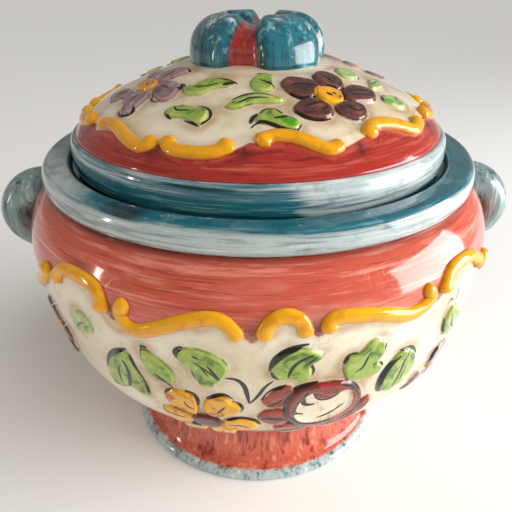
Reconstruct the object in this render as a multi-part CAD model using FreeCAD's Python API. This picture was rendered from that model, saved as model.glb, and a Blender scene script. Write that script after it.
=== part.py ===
"""Glazed earthenware pot with a lift-off lid, two lug handles and applied relief decoration.

Frame: +Z up, origin at the centre of the foot's resting face, handles on the X axis, front of the pot at -Y.
Millimetres throughout. Each sub-part is written to parts/NODE.step.
"""
import FreeCAD
import Part
import math
import os

from FreeCAD import Vector

# ---------------------------------------------------------------- driving dimensions
WALL = 6.5                 # clay thickness of the bowl
LID_WALL = 6.0             # clay thickness of the lid
COLLAR_BOTTOM_Z = 147.0    # where the bowl ends and the collar starts
COLLAR_TOP_Z = 157.7
COLLAR_R = 101.0
GALLERY_R = 88.8           # wall of the recess that takes the lid
SEAT_Z = 153.0             # floor of that recess
MOUTH_R = 81.0
LID_CLEARANCE = 0.15       # glaze to glaze, between the seat and the lid's flange
FLANGE_R = 87.0
DOME_Z = 168.0             # top of the flange, where the lid's dome starts
DOME_R = 84.5
DOME_INNER_R = 77.5
RING_DEPTH = 10.0          # how far the locating ring reaches into the mouth
RING_R = 78.5
FOOT_R = 72.0
FOOT_INNER_R = 61.0
KNOB_R = 31.0
KNOB_TOP_Z = 215.5
KNOB_TURN = -15.5          # azimuth of the knob's front groove, degrees
HANDLE_X = 108.5           # axis of the handle's roll
HANDLE_Z = 124.0
HANDLE_ROLL_R = 13.0       # from that axis to the middle of the roll
RELIEF = 1.8               # how proud the leaves and flowers stand
SCROLL_RELIEF = 3.2        # how proud the scroll moulding stands
SCROLL_WIDTH = 5.2

# Outer profiles as (radius, height), from the axis outwards and up.
BOWL_PROFILE = [(0, 28), (25, 29), (44, 32), (60, 38), (77, 47), (91.5, 57.5), (99.5, 69), (104, 82),
                (107.2, 97), (110.0, 114), (110.3, 126), (107.5, 136), (102.8, 143), (98.5, COLLAR_BOTTOM_Z)]
DOME_PROFILE = [(0, 199), (20, 197.8), (34, 195), (43, 192), (58, 186), (70, 180.6), (76.9, 175.6),
                (81.9, 171.4), (DOME_R, DOME_Z)]


# ---------------------------------------------------------------- small helpers
def at(radius, height):
    """A point in the XZ half plane in which every profile is drawn."""
    return Vector(radius, 0, height)


def spline(points):
    """A smooth edge through (radius, height) points."""
    curve = Part.BSplineCurve()
    curve.interpolate([at(*p) for p in points])
    return curve.toShape()


def line(a, b):
    return Part.makeLine(at(*a), at(*b))


def arc(a, middle, b):
    return Part.Arc(at(*a), at(*middle), at(*b)).toShape()


def turned(edges):
    """The solid that a closed profile sweeps in a full turn about the Z axis."""
    face = Part.Face(Part.Wire(edges))
    return face.revolve(Vector(0, 0, 0), Vector(0, 0, 1), 360)


def offset_profile(points, distance):
    """The points moved along the profile's normal, outwards for a positive distance."""
    moved = []
    for i, (radius, height) in enumerate(points):
        before, after = points[max(i - 1, 0)], points[min(i + 1, len(points) - 1)]
        run, rise = after[0] - before[0], after[1] - before[1]
        length = math.hypot(run, rise)
        normal = (rise / length, -run / length)
        if normal[0] < 0:
            normal = (-normal[0], -normal[1])
        if radius == 0:
            normal = (0, math.copysign(1, normal[1]))
        moved.append((radius + distance * normal[0], height + distance * normal[1]))
    return moved


def about_z(shape, degrees):
    copy = shape.copy()
    copy.rotate(Vector(0, 0, 0), Vector(0, 0, 1), degrees)
    return copy


def solid_of(shape):
    """The shape's largest solid, without seams between faces of one surface."""
    return max(shape.removeSplitter().Solids, key=lambda s: s.Volume)


def save(name, *shapes):
    """Writes one node. A node of several solids keeps them apart."""
    solids = [s for shape in shapes for s in shape.Solids]
    made = solids[0] if len(solids) == 1 else Part.makeCompound(solids)
    assert made.isValid(), name
    made.exportStep(f"parts/{name}.step")


# ---------------------------------------------------------------- the pot
def closed_body(points):
    """A profile's form as a full body, for trimming what is luted onto it."""
    last = points[-1]
    return turned([spline(points), line(last, (0, last[1])), line((0, last[1]), points[0])])


def bowl_wall():
    inner = offset_profile(BOWL_PROFILE, -WALL)
    inner[-1] = (BOWL_PROFILE[-1][0] - WALL, COLLAR_BOTTOM_Z)
    return turned([spline(BOWL_PROFILE), line(BOWL_PROFILE[-1], inner[-1]), spline(inner),
                   line(inner[0], BOWL_PROFILE[0])])


def foot_ring(bowl_body):
    """A low spreading ring under the bowl, trimmed to the bowl's underside."""
    outside = [(FOOT_R, 1.6), (69.8, 4.6), (66.0, 7.0), (62.8, 14.0), (61.2, 24.0), (61.5, 40.0)]
    inside_top = (51.0, 40.0)
    sole = (FOOT_R - 1.6, 0)
    ring = turned([line((FOOT_INNER_R, 0), sole), arc(sole, (FOOT_R - 0.5, 0.5), outside[0]), spline(outside),
                   line(outside[-1], inside_top), line(inside_top, (FOOT_INNER_R, 0))])
    return solid_of(ring.cut(bowl_body))


def rim_collar():
    """A thick rounded collar whose stepped inside, the gallery, takes the lid."""
    edge_r = COLLAR_R - 3.2
    return turned([line((MOUTH_R, COLLAR_BOTTOM_Z), (98.5, COLLAR_BOTTOM_Z)),
                   arc((98.5, COLLAR_BOTTOM_Z), (100.4, 149.0), (COLLAR_R, 151.4)),
                   arc((COLLAR_R, 151.4), (100.6, 155.6), (edge_r, COLLAR_TOP_Z)),
                   line((edge_r, COLLAR_TOP_Z), (GALLERY_R, COLLAR_TOP_Z)),
                   line((GALLERY_R, COLLAR_TOP_Z), (GALLERY_R, SEAT_Z)),
                   line((GALLERY_R, SEAT_Z), (MOUTH_R, SEAT_Z)),
                   line((MOUTH_R, SEAT_Z), (MOUTH_R, COLLAR_BOTTOM_Z))])


def handle(bowl_body):
    """A closed lug: a thick roll round a thinner web, cut to the side of the bowl."""
    axis_point = Vector(HANDLE_X, 0, HANDLE_Z)
    section = Part.Ellipse(Vector(0, 0, 0), 12.5, 8.5).toShape()
    section.rotate(Vector(0, 0, 0), Vector(0, 0, 1), 90)
    section.translate(axis_point + Vector(HANDLE_ROLL_R, 0, 0))
    roll = Part.Face(Part.Wire([section])).revolve(axis_point, Vector(0, 1, 0), 360)
    web = Part.makeCylinder(HANDLE_ROLL_R, 12, axis_point - Vector(0, 6, 0), Vector(0, 1, 0))
    return solid_of(roll.fuse(web).cut(bowl_body))


# ---------------------------------------------------------------- the lid
def lid_flange():
    """The rounded bead that rests on the seat and carries the dome."""
    inner_r = RING_R - LID_WALL
    base = (83.0, SEAT_Z + LID_CLEARANCE)
    low_side, high_side = (FLANGE_R - 0.3, 158.0), (FLANGE_R - 0.6, 166.4)
    inside_low, inside_high = (inner_r, 161.0), (DOME_INNER_R, DOME_Z)
    return turned([line((inner_r, base[1]), base), arc(base, (85.9, 154.9), low_side),
                   arc(low_side, (FLANGE_R, 163.0), high_side),
                   arc(high_side, (86.0, 167.5), (DOME_R, DOME_Z)),
                   line((DOME_R, DOME_Z), inside_high), line(inside_high, inside_low),
                   line(inside_low, (inner_r, base[1]))])


def lid_locating_ring():
    """The ring under the flange that keeps the lid central in the mouth."""
    top_z = SEAT_Z + LID_CLEARANCE
    low_z = top_z - RING_DEPTH
    inner_r = RING_R - LID_WALL
    tip = 1.2
    corners = [(inner_r, top_z), (inner_r, low_z + tip), (inner_r + tip, low_z), (RING_R - tip, low_z),
               (RING_R, low_z + tip), (RING_R, top_z)]
    return turned([line(a, b) for a, b in zip(corners, corners[1:] + corners[:1])])


def lid_dome():
    inner = offset_profile(DOME_PROFILE, -LID_WALL)
    inner[-1] = (DOME_INNER_R, DOME_Z)
    inner[-2] = (75.9, 169.4)
    return turned([spline(DOME_PROFILE), line(DOME_PROFILE[-1], inner[-1]), spline(inner),
                   line(inner[0], DOME_PROFILE[0])])


def knob(dome):
    """A four-lobed grip: a round boss parted by four upright grooves and a cross-shaped valley."""
    base_z = 190.0
    side_top, crown_edge = (KNOB_R, 198.0), (18.5, KNOB_TOP_Z - 0.4)
    dip_edge, dip = (8.0, KNOB_TOP_Z - 1.2), (0, KNOB_TOP_Z - 1.6)
    boss = turned([line((0, base_z), (KNOB_R, base_z)), line((KNOB_R, base_z), side_top),
                   arc(side_top, (28.3, 209.5), crown_edge), arc(crown_edge, (13.0, KNOB_TOP_Z), dip_edge),
                   line(dip_edge, dip), line(dip, (0, base_z))])
    groove = Part.makeCone(8.6, 5.0, 30, Vector(0, -KNOB_R - 1.2, base_z), Vector(0, 0.16, 1))
    valley = Part.makeCylinder(6.0, 40, Vector(0, 0, KNOB_TOP_Z + 2.6), Vector(0, -1, 0.02))
    for quarter in range(4):
        turn = KNOB_TURN + 90 * quarter
        boss = boss.cut(about_z(groove, turn)).cut(about_z(valley, turn))
    return solid_of(boss.cut(dome))


# ---------------------------------------------------------------- applied relief
class Form:
    """A turned form that decoration is applied to, addressed by azimuth and by a station along its profile.

    The station is the height on the bowl and the radius on the lid's dome.
    Azimuth 0 is the front of the pot and +X is 90 degrees.
    """

    def __init__(self, profile, by_radius):
        self.profile = profile
        self.by_radius = by_radius
        self.stations = sorted((p if by_radius else p[::-1]) for p in profile)

    def section(self, station):
        """Radius and height at a station, between the profile's two nearest points."""
        for low, high in zip(self.stations, self.stations[1:]):
            if low[0] <= station <= high[0]:
                share = (station - low[0]) / (high[0] - low[0])
                other = low[1] + share * (high[1] - low[1])
                return (station, other) if self.by_radius else (other, station)
        raise ValueError(station)

    def point(self, azimuth, station):
        radius, height = self.section(station)
        angle = math.radians(azimuth)
        return Vector(radius * math.sin(angle), -radius * math.cos(angle), height)

    def frame(self, azimuth, station):
        """Sideways, upward and outward directions at a place on the form."""
        step = -1.5 if self.by_radius else 1.5
        up = (self.point(azimuth, station + step) - self.point(azimuth, station - step)).normalize()
        angle = math.radians(azimuth)
        sideways = Vector(math.cos(angle), math.sin(angle), 0)
        return sideways, up, sideways.cross(up)

    def layer(self, thickness):
        """The skin of a given thickness on the form, from which every applied piece is cut."""
        outer = offset_profile(self.profile, thickness)
        return turned([spline(self.profile), line(self.profile[-1], outer[-1]), spline(outer),
                       line(outer[0], self.profile[0])])

    def cut(self, layer, azimuth, station, outline, reach=9.0):
        """The piece of a layer inside an outline of (sideways, upward) points about a place on the form."""
        origin = self.point(azimuth, station)
        sideways, up, normal = self.frame(azimuth, station)
        curve = Part.BSplineCurve()
        corner = origin - normal * reach
        curve.interpolate([corner + sideways * x + up * y for x, y in outline], PeriodicFlag=True)
        prism = Part.Face(Part.Wire([curve.toShape()])).extrude(normal * reach * 2)
        return solid_of(layer.common(prism))

    def scroll(self, layer, route, width):
        """A rounded ribbon along a route of (azimuth, station) points."""
        middle = route[len(route) // 2]
        sideways, up, _ = self.frame(*middle)
        flat = [self.point(*place) - self.point(*middle) for place in route]
        outline = scroll_outline([(p.dot(sideways), p.dot(up)) for p in flat], width)
        return self.cut(layer, middle[0], middle[1], outline, reach=16.0)


def leaf_outline(length, width, tilt):
    """A pointed oval, tilted in degrees from the upward direction."""
    turn = math.radians(tilt)
    points = []
    for step in range(12):
        angle = math.radians(30 * step)
        along = 0.5 * length * math.cos(angle)
        across = 0.5 * width * math.sin(angle) * (1 - 0.25 * math.cos(angle))
        points.append((along * math.sin(turn) + across * math.cos(turn),
                       along * math.cos(turn) - across * math.sin(turn)))
    return points


def flower_outline(width, height, petals, depth=0.16):
    """A petalled rosette fitted in a width and height."""
    points = []
    steps = petals * 6
    for step in range(steps):
        angle = 2 * math.pi * step / steps
        swell = 1 - depth + depth * math.cos(petals * angle)
        points.append((0.5 * width * swell * math.sin(angle), 0.5 * height * swell * math.cos(angle)))
    return points


def scroll_outline(route, width):
    """A ribbon along a route of (sideways, upward) points, full in the middle and rounded at its ends."""
    centre = Part.BSplineCurve()
    centre.interpolate([Vector(x, y, 0) for x, y in route])
    first, last = centre.FirstParameter, centre.LastParameter
    stations = 9
    left, right = [], []
    for i in range(stations):
        share = i / (stations - 1)
        value = first + share * (last - first)
        point, tangent = centre.value(value), Vector(*centre.tangent(value)[0])
        half = 0.5 * width * (0.55 + 0.45 * math.sin(math.pi * share))
        across = Vector(-tangent.y, tangent.x, 0)
        left.append(point + across * half)
        right.append(point - across * half)
    start = centre.value(first) - Vector(*centre.tangent(first)[0]) * 0.3 * width
    end = centre.value(last) + Vector(*centre.tangent(last)[0]) * 0.3 * width
    ring = [start] + left + [end] + right[::-1]
    return [(p.x, p.y) for p in ring]


# Scroll routes as (azimuth, height) on the bowl and (azimuth, radius) on the lid.
BOWL_SCROLLS = {
    "middle": [(-1.6, 121.5), (-0.9, 127.0), (2.2, 130.6), (5.2, 128.0), (6.0, 122.0)],
    "left": [(-26.9, 128.5), (-29.0, 126.5), (-27.6, 120.6), (-22.5, 121.2), (-15.0, 127.6), (-9.0, 128.6),
             (-5.6, 121.5)],
    "right": [(10.4, 122.6), (10.4, 127.2), (15.0, 128.0), (23.0, 124.8), (29.5, 122.6), (33.0, 126.6),
              (31.2, 130.6)],
    "arch_left": [(-33.6, 122.0), (-34.3, 129.5), (-40.5, 132.6), (-46.4, 130.4), (-48.2, 125.0)],
    "arch_right": [(37.3, 124.0), (38.4, 130.2), (43.6, 132.8), (49.6, 130.8), (53.6, 125.0)],
    "side_left": [(-52.0, 129.0), (-54.5, 121.5), (-62.0, 113.5), (-70.0, 102.5), (-80.0, 95.0)],
    "side_right": [(58.0, 126.5), (59.6, 119.8), (64.0, 113.5), (70.0, 105.0), (76.5, 98.0), (84.0, 94.0)],
}
LID_SCROLLS = {
    "left": [(-60.0, 75.6), (-54.0, 73.4), (-46.5, 75.0), (-39.9, 77.2), (-34.4, 77.0), (-33.6, 73.4)],
    "middle": [(-29.0, 72.6), (-27.7, 75.8), (-22.1, 77.2), (-16.6, 76.9), (-12.3, 75.3), (-9.8, 72.2)],
    "right": [(-2.6, 73.6), (0.5, 70.8), (6.5, 70.8), (12.0, 73.4), (17.0, 76.2), (21.4, 74.2)],
    "far_right": [(31.0, 74.4), (34.0, 70.8), (40.0, 70.8), (46.4, 73.6), (52.5, 76.8), (58.4, 74.0)],
    "side_near": [(-66.5, 74.6), (-69.5, 77.0), (-75.0, 78.6), (-81.0, 79.2), (-87.0, 78.0)],
    "side_far": [(-93.5, 77.6), (-99.0, 78.6), (-105.0, 77.6), (-110.0, 75.8), (-113.0, 73.0)],
}
# Leaves as (azimuth, height or radius, length, width, tilt).
BOWL_LEAVES = [(-33.4, 93.5, 24, 13, -14), (-22.6, 102.5, 20, 10, 22), (-13.2, 106.5, 24, 15, -20),
               (4.0, 109.0, 24, 15, 25), (18.6, 105.5, 23, 14, 24), (29.8, 91.5, 26, 12, 20),
               (-42.0, 109.5, 14, 10, -35), (47.0, 104.0, 20, 10, 30)]
LID_LEAVES = [(-28.5, 45.0, 22, 10, 68), (-28.0, 61.8, 18, 9, 85), (0.4, 41.2, 12, 10, 0),
              (-3.0, 52.6, 22, 7, 75), (3.2, 62.8, 16, 8, -65), (60.0, 42.0, 13, 8, 80),
              (67.0, 53.6, 17, 6, 85), (58.0, 64.6, 12, 8, 60)]
# Flowers as (azimuth, height or radius, outline).
BOWL_FLOWERS = {
    "daisy": (-13.5, 75.5, flower_outline(41, 36, 6)),
    "rose": (11.0, 81.0, flower_outline(44, 36, 7, 0.1)),
    "violet": (47.5, 71.5, flower_outline(32, 32, 5)),
    "pansy": (-60.0, 90.5, flower_outline(28, 28, 5)),
}
LID_FLOWERS = {
    "plum_flower": (31.4, 52.3, flower_outline(40, 33, 5)),
    "lilac_flower": (-60.5, 53.5, flower_outline(37, 35, 5)),
}


def save_front_and_back(name, *pieces):
    """The decoration on the back is the front's, half a turn round."""
    save(f"{name}_front", *pieces)
    save(f"{name}_back", *[about_z(piece, 180) for piece in pieces])


def decorate(prefix, form, scrolls, leaves, flowers):
    """Cuts and writes every applied piece of one form."""
    low_layer, proud_layer = form.layer(RELIEF), form.layer(SCROLL_RELIEF)
    for place, route in scrolls.items():
        save_front_and_back(f"{prefix}_scroll_{place}", form.scroll(proud_layer, route, SCROLL_WIDTH))
    save_front_and_back(f"{prefix}_leaves", *[form.cut(low_layer, azimuth, station, leaf_outline(*shape))
                                              for azimuth, station, *shape in leaves])
    for flower, place in flowers.items():
        save_front_and_back(f"{prefix}_{flower}", form.cut(low_layer, *place))


def main():
    os.makedirs("parts", exist_ok=True)
    bowl_body = closed_body(BOWL_PROFILE)
    save("bowl_shell", bowl_wall())
    save("foot_ring", foot_ring(bowl_body))
    save("rim_collar", rim_collar())
    lug = handle(bowl_body)
    save("handle_right", lug)
    save("handle_left", about_z(lug, 180))
    save("lid_flange", lid_flange())
    save("lid_locating_ring", lid_locating_ring())
    save("lid_dome", lid_dome())
    save("knob", knob(closed_body(DOME_PROFILE)))
    bowl, lid = Form(BOWL_PROFILE, by_radius=False), Form(DOME_PROFILE, by_radius=True)
    decorate("bowl", bowl, BOWL_SCROLLS, BOWL_LEAVES, BOWL_FLOWERS)
    decorate("lid", lid, LID_SCROLLS, LID_LEAVES, LID_FLOWERS)


main()
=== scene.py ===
"""Looks of a hand-painted earthenware pot with a lift-off lid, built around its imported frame.

Lengths inside the classes are millimetres, as a potter would give them. They become metres where a mesh
is made.
Azimuth 0 is the pot's front (-Y) and +90 is the right-hand handle (+X).
"""
import logging
import math
from dataclasses import dataclass
from enum import Enum
from typing import Callable, Sequence

import bpy
import numpy as np
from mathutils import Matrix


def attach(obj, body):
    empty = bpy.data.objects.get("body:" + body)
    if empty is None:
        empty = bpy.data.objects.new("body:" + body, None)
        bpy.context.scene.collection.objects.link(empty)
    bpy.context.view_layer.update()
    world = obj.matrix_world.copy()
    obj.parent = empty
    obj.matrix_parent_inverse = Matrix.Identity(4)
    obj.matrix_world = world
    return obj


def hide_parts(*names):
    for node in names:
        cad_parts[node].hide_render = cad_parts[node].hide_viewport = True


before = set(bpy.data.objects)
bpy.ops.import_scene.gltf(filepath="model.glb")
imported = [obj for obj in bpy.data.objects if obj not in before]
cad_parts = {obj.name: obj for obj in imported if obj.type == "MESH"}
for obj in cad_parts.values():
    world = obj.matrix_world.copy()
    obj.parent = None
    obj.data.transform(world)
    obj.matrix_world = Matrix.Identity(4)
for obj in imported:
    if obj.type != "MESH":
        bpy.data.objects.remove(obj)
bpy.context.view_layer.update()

LOG = logging.getLogger("pot")
MM = 0.001
FAR_OUTSIDE = -9.0    # millimetres, where a wall has no band or painted shape
NO_INK = -5.0
BOWL_TURNS = 480
DOME_TURNS = 440
NEAR_MOTIF = 34.0     # millimetres from a motif beyond which it has no effect
Colour = tuple[float, float, float]
Points = Sequence[tuple[float, float]]


def srgb(red: int, green: int, blue: int) -> Colour:
    """Gives a display colour's linear value.

    Args:
        red, green, blue: Display values from 0 to 255.

    Returns:
        The linear red, green and blue.
    """
    def linear(value: int) -> float:
        """Undoes the display curve of one channel."""
        share = value / 255
        return share / 12.92 if share <= 0.04045 else ((share + 0.055) / 1.055) ** 2.4

    return linear(red), linear(green), linear(blue)


# ---------------------------------------------------------------- shader building
class Sock:
    """A socket, or a number, in an expression that adds its nodes to a material as it is written."""

    def __init__(self, paint: "NodePaint", link: object) -> None:
        """Keeps the material being built and the socket or value."""
        self.paint, self.link = paint, link

    def _math(self, operation: str, *others: object) -> "Sock":
        """Adds one Math node."""
        links = [other.link if isinstance(other, Sock) else other for other in others]
        return self.paint.node("ShaderNodeMath", {"operation": operation}, dict(enumerate(links)))

    def __add__(self, other: object) -> "Sock":
        """self + other."""
        return self._math("ADD", self, other)

    def __sub__(self, other: object) -> "Sock":
        """self - other."""
        return self._math("SUBTRACT", self, other)

    def __rsub__(self, other: object) -> "Sock":
        """other - self."""
        return self._math("SUBTRACT", other, self)

    def __mul__(self, other: object) -> "Sock":
        """self * other."""
        return self._math("MULTIPLY", self, other)

    def __truediv__(self, other: object) -> "Sock":
        """self / other."""
        return self._math("DIVIDE", self, other)

    def __pow__(self, other: float) -> "Sock":
        """self ** other."""
        return self._math("POWER", self, other)

    __radd__, __rmul__ = __add__, __mul__

    def at_most(self, other: object) -> "Sock":
        """The smaller of the two."""
        return self._math("MINIMUM", self, other)

    def at_least(self, other: object) -> "Sock":
        """The larger of the two."""
        return self._math("MAXIMUM", self, other)

    def step(self, low: float, high: float) -> "Sock":
        """Rises smoothly from 0 at low to 1 at high. With low above high it falls."""
        settings = {"interpolation_type": "SMOOTHSTEP", "clamp": True}
        if low < high:
            limits = {1: low, 2: high, 3: 0.0, 4: 1.0}
            return self.paint.node("ShaderNodeMapRange", settings, {"Value": self.link, **limits})
        limits = {1: high, 2: low, 3: 1.0, 4: 0.0}
        return self.paint.node("ShaderNodeMapRange", settings, {"Value": self.link, **limits})


class NodePaint:
    """One material's node tree, with the few node patterns that every glaze here is made from."""

    def __init__(self, name: str) -> None:
        """Starts an empty material with a Principled surface.

        Args:
            name: The material's name.
        """
        self.material = bpy.data.materials.new(name)
        self.material.use_nodes = True
        self.tree = self.material.node_tree
        self.tree.nodes.clear()
        self.surface = self.tree.nodes.new("ShaderNodeBsdfPrincipled")
        output = self.tree.nodes.new("ShaderNodeOutputMaterial")
        self.tree.links.new(self.surface.outputs[0], output.inputs[0])
        self.place = self.node("ShaderNodeTexCoord", {}, {}, "Object")

    def node(self, kind: str, settings: dict, inputs: dict, output: object = 0) -> Sock:
        """Adds a node.

        Args:
            kind: The node's type.
            settings: Its properties, which are set first.
            inputs: Values or links by socket name or number.
            output: Which output to give back.

        Returns:
            That output, ready for an expression.
        """
        made = self.tree.nodes.new(kind)
        for key, value in settings.items():
            if key == "stops":
                self._stops(made.color_ramp, value)
            else:
                setattr(made, key, value)
        for key, value in inputs.items():
            self.feed(made.inputs[key], value)
        return Sock(self, made.outputs[output])

    def feed(self, socket: object, value: object) -> None:
        """Links or sets one input."""
        value = value.link if isinstance(value, Sock) else value
        if isinstance(value, bpy.types.NodeSocket):
            self.tree.links.new(value, socket)
        elif isinstance(value, tuple) and socket.type == "RGBA" and len(value) == 3:
            socket.default_value = (*value, 1.0)
        else:
            socket.default_value = value

    @staticmethod
    def _stops(ramp: object, stops: Sequence[tuple[float, Colour]]) -> None:
        """Gives a colour ramp its stops."""
        while len(ramp.elements) < len(stops):
            ramp.elements.new(0.5)
        for element, (position, colour) in zip(ramp.elements, stops):
            element.position, element.color = position, (*colour, 1.0)

    def ramp(self, value: Sock, stops: Sequence[tuple[float, Colour]]) -> Sock:
        """Turns a number into a colour."""
        return self.node("ShaderNodeValToRGB", {"stops": stops}, {0: value})

    def mix(self, share: object, first: object, second: object, blend: str = "MIX") -> Sock:
        """Mixes two colours by a share from 0 to 1."""
        settings = {"data_type": "RGBA", "blend_type": blend, "clamp_factor": True}
        return self.node("ShaderNodeMix", settings, {0: share, 6: first, 7: second}, 2)

    def attribute(self, name: str, colour: bool = False) -> Sock:
        """Reads one of the mesh's own attributes."""
        return self.node("ShaderNodeAttribute", {"attribute_name": name}, {}, "Color" if colour else "Fac")

    def stretched(self, across: float, along: float, shift: float = 0.0) -> Sock:
        """Object coordinates scaled differently round the pot and up it."""
        return self.node("ShaderNodeMapping", {}, {0: self.place, 1: (shift, shift, shift),
                                                   3: (across, across, along)})

    def noise(self, where: Sock, scale: float, detail: float = 3.0, rough: float = 0.55,
              bend: float = 0.0) -> Sock:
        """Fractal noise about 0.5."""
        return self.node("ShaderNodeTexNoise", {}, {"Vector": where, "Scale": scale, "Detail": detail,
                                                    "Roughness": rough, "Distortion": bend}, "Fac")


# ---------------------------------------------------------------- finishes
@dataclass(frozen=True)
class Pigment:
    """One painter's colour: as brushed thin, as it usually lies and as it pools."""

    thin: Colour
    plain: Colour
    deep: Colour


CREAM = Pigment(srgb(238, 230, 210), srgb(224, 209, 178), srgb(178, 132, 74))
RED = Pigment(srgb(206, 98, 80), srgb(164, 40, 31), srgb(98, 16, 14))
ROSE = Pigment(srgb(236, 160, 142), srgb(202, 88, 68), srgb(140, 42, 30))
TEAL = Pigment(srgb(112, 162, 170), srgb(28, 104, 120), srgb(8, 38, 46))
SLATE = Pigment(srgb(186, 200, 198), srgb(122, 146, 148), srgb(40, 58, 60))
SALMON = Pigment(srgb(228, 148, 122), srgb(204, 96, 74), srgb(132, 28, 24))
MIST = Pigment(srgb(220, 226, 226), srgb(178, 192, 194), srgb(84, 108, 116))
YELLOW = Pigment(srgb(248, 198, 26), srgb(236, 166, 2), srgb(172, 84, 2))
GREEN = Pigment(srgb(194, 206, 118), srgb(146, 172, 66), srgb(72, 114, 26))
BRIGHT_GREEN = Pigment(srgb(140, 190, 60), srgb(74, 158, 12), srgb(34, 100, 8))
PALE_GREEN = Pigment(srgb(206, 216, 172), srgb(164, 188, 112), srgb(104, 140, 62))
BROWN = Pigment(srgb(132, 52, 40), srgb(88, 28, 24), srgb(40, 10, 10))
RUST = Pigment(srgb(194, 96, 70), srgb(146, 52, 38), srgb(78, 20, 14))
CRIMSON = Pigment(srgb(176, 48, 40), srgb(134, 18, 22), srgb(74, 6, 8))
PLUM = Pigment(srgb(146, 88, 76), srgb(84, 42, 40), srgb(42, 16, 20))
LILAC = Pigment(srgb(186, 158, 158), srgb(138, 104, 112), srgb(88, 60, 76))
AMBER = Pigment(srgb(232, 180, 84), srgb(204, 132, 44), srgb(140, 76, 16))
WHITE = Pigment(srgb(242, 234, 216), srgb(232, 220, 194), srgb(204, 178, 134))
LEAF_INK = srgb(14, 26, 12)
PETAL_INK = srgb(32, 14, 10)
MAROON = srgb(66, 12, 14)
CRAZE = srgb(108, 76, 48)


class Glaze:
    """The clear, crazed gloss that lies over every brushed colour."""

    ROUGHNESS = 0.09
    REFRACTION = 1.52

    @staticmethod
    def streaks(paint: NodePaint, upright: bool, seed: float) -> Sock:
        """Bristle marks of a broad brush, round the pot or up it, from 0 to 1."""
        across, along = (170.0, 16.0) if upright else (14.0, 340.0)
        broad = paint.noise(paint.stretched(across, along, seed), 1.0, 4.0, 0.62, 0.4)
        fine = paint.noise(paint.stretched(across * 3.4, along * 3.4, seed + 3.1), 1.0, 3.0, 0.6)
        return (broad * 0.6 + fine * 0.4).step(0.34, 0.66)

    @staticmethod
    def craze(paint: NodePaint) -> Sock:
        """The net of hair cracks in the glaze, 1 on a crack."""
        warp = paint.noise(paint.place, 60.0, 2.0)
        moved = paint.node("ShaderNodeVectorMath", {"operation": "MULTIPLY_ADD"},
                           {0: paint.node("ShaderNodeCombineXYZ", {}, {0: warp, 1: warp, 2: warp}),
                            1: (0.006, 0.006, 0.006), 2: paint.place})
        nets = []
        for scale, width in ((170.0, 0.022), (330.0, 0.026)):
            net = paint.node("ShaderNodeTexVoronoi", {"feature": "DISTANCE_TO_EDGE"},
                             {"Vector": moved, "Scale": scale}, "Distance")
            nets.append(net.step(width, width * 0.25))
        fade = paint.noise(paint.place, 28.0, 2.0).step(0.42, 0.62)
        return nets[0].at_least(nets[1] * 0.5) * (fade * 0.75 + 0.25)

    @classmethod
    def finish(cls, paint: NodePaint, colour: Sock, craze_depth: float) -> bpy.types.Material:
        """Lays the gloss over a colour.

        Args:
            paint: The material being built.
            colour: Its brushed colour.
            craze_depth: How dark the hair cracks show, from 0 to 1.

        Returns:
            The finished material.
        """
        cracks = cls.craze(paint)
        colour = paint.mix(cracks * craze_depth, colour, CRAZE)
        paint.feed(paint.surface.inputs["Base Color"], colour)
        rough = paint.noise(paint.place, 90.0, 2.0) * 0.08 + cls.ROUGHNESS - 0.03
        paint.feed(paint.surface.inputs["Roughness"], rough)
        paint.surface.inputs["IOR"].default_value = cls.REFRACTION
        paint.surface.inputs["Coat Weight"].default_value = 0.35
        paint.surface.inputs["Coat Roughness"].default_value = 0.03
        ripple = paint.noise(paint.place, 55.0, 2.0, 0.45) * 0.9
        pits = paint.noise(paint.place, 700.0, 1.0).step(0.3, 0.24)
        height = ripple - cracks * 0.05 - pits * 0.12
        bump = paint.node(
            "ShaderNodeBump", {}, {"Strength": 0.55, "Distance": 0.0006, "Height": height}, "Normal")
        paint.feed(paint.surface.inputs["Normal"], bump)
        return paint.material


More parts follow.
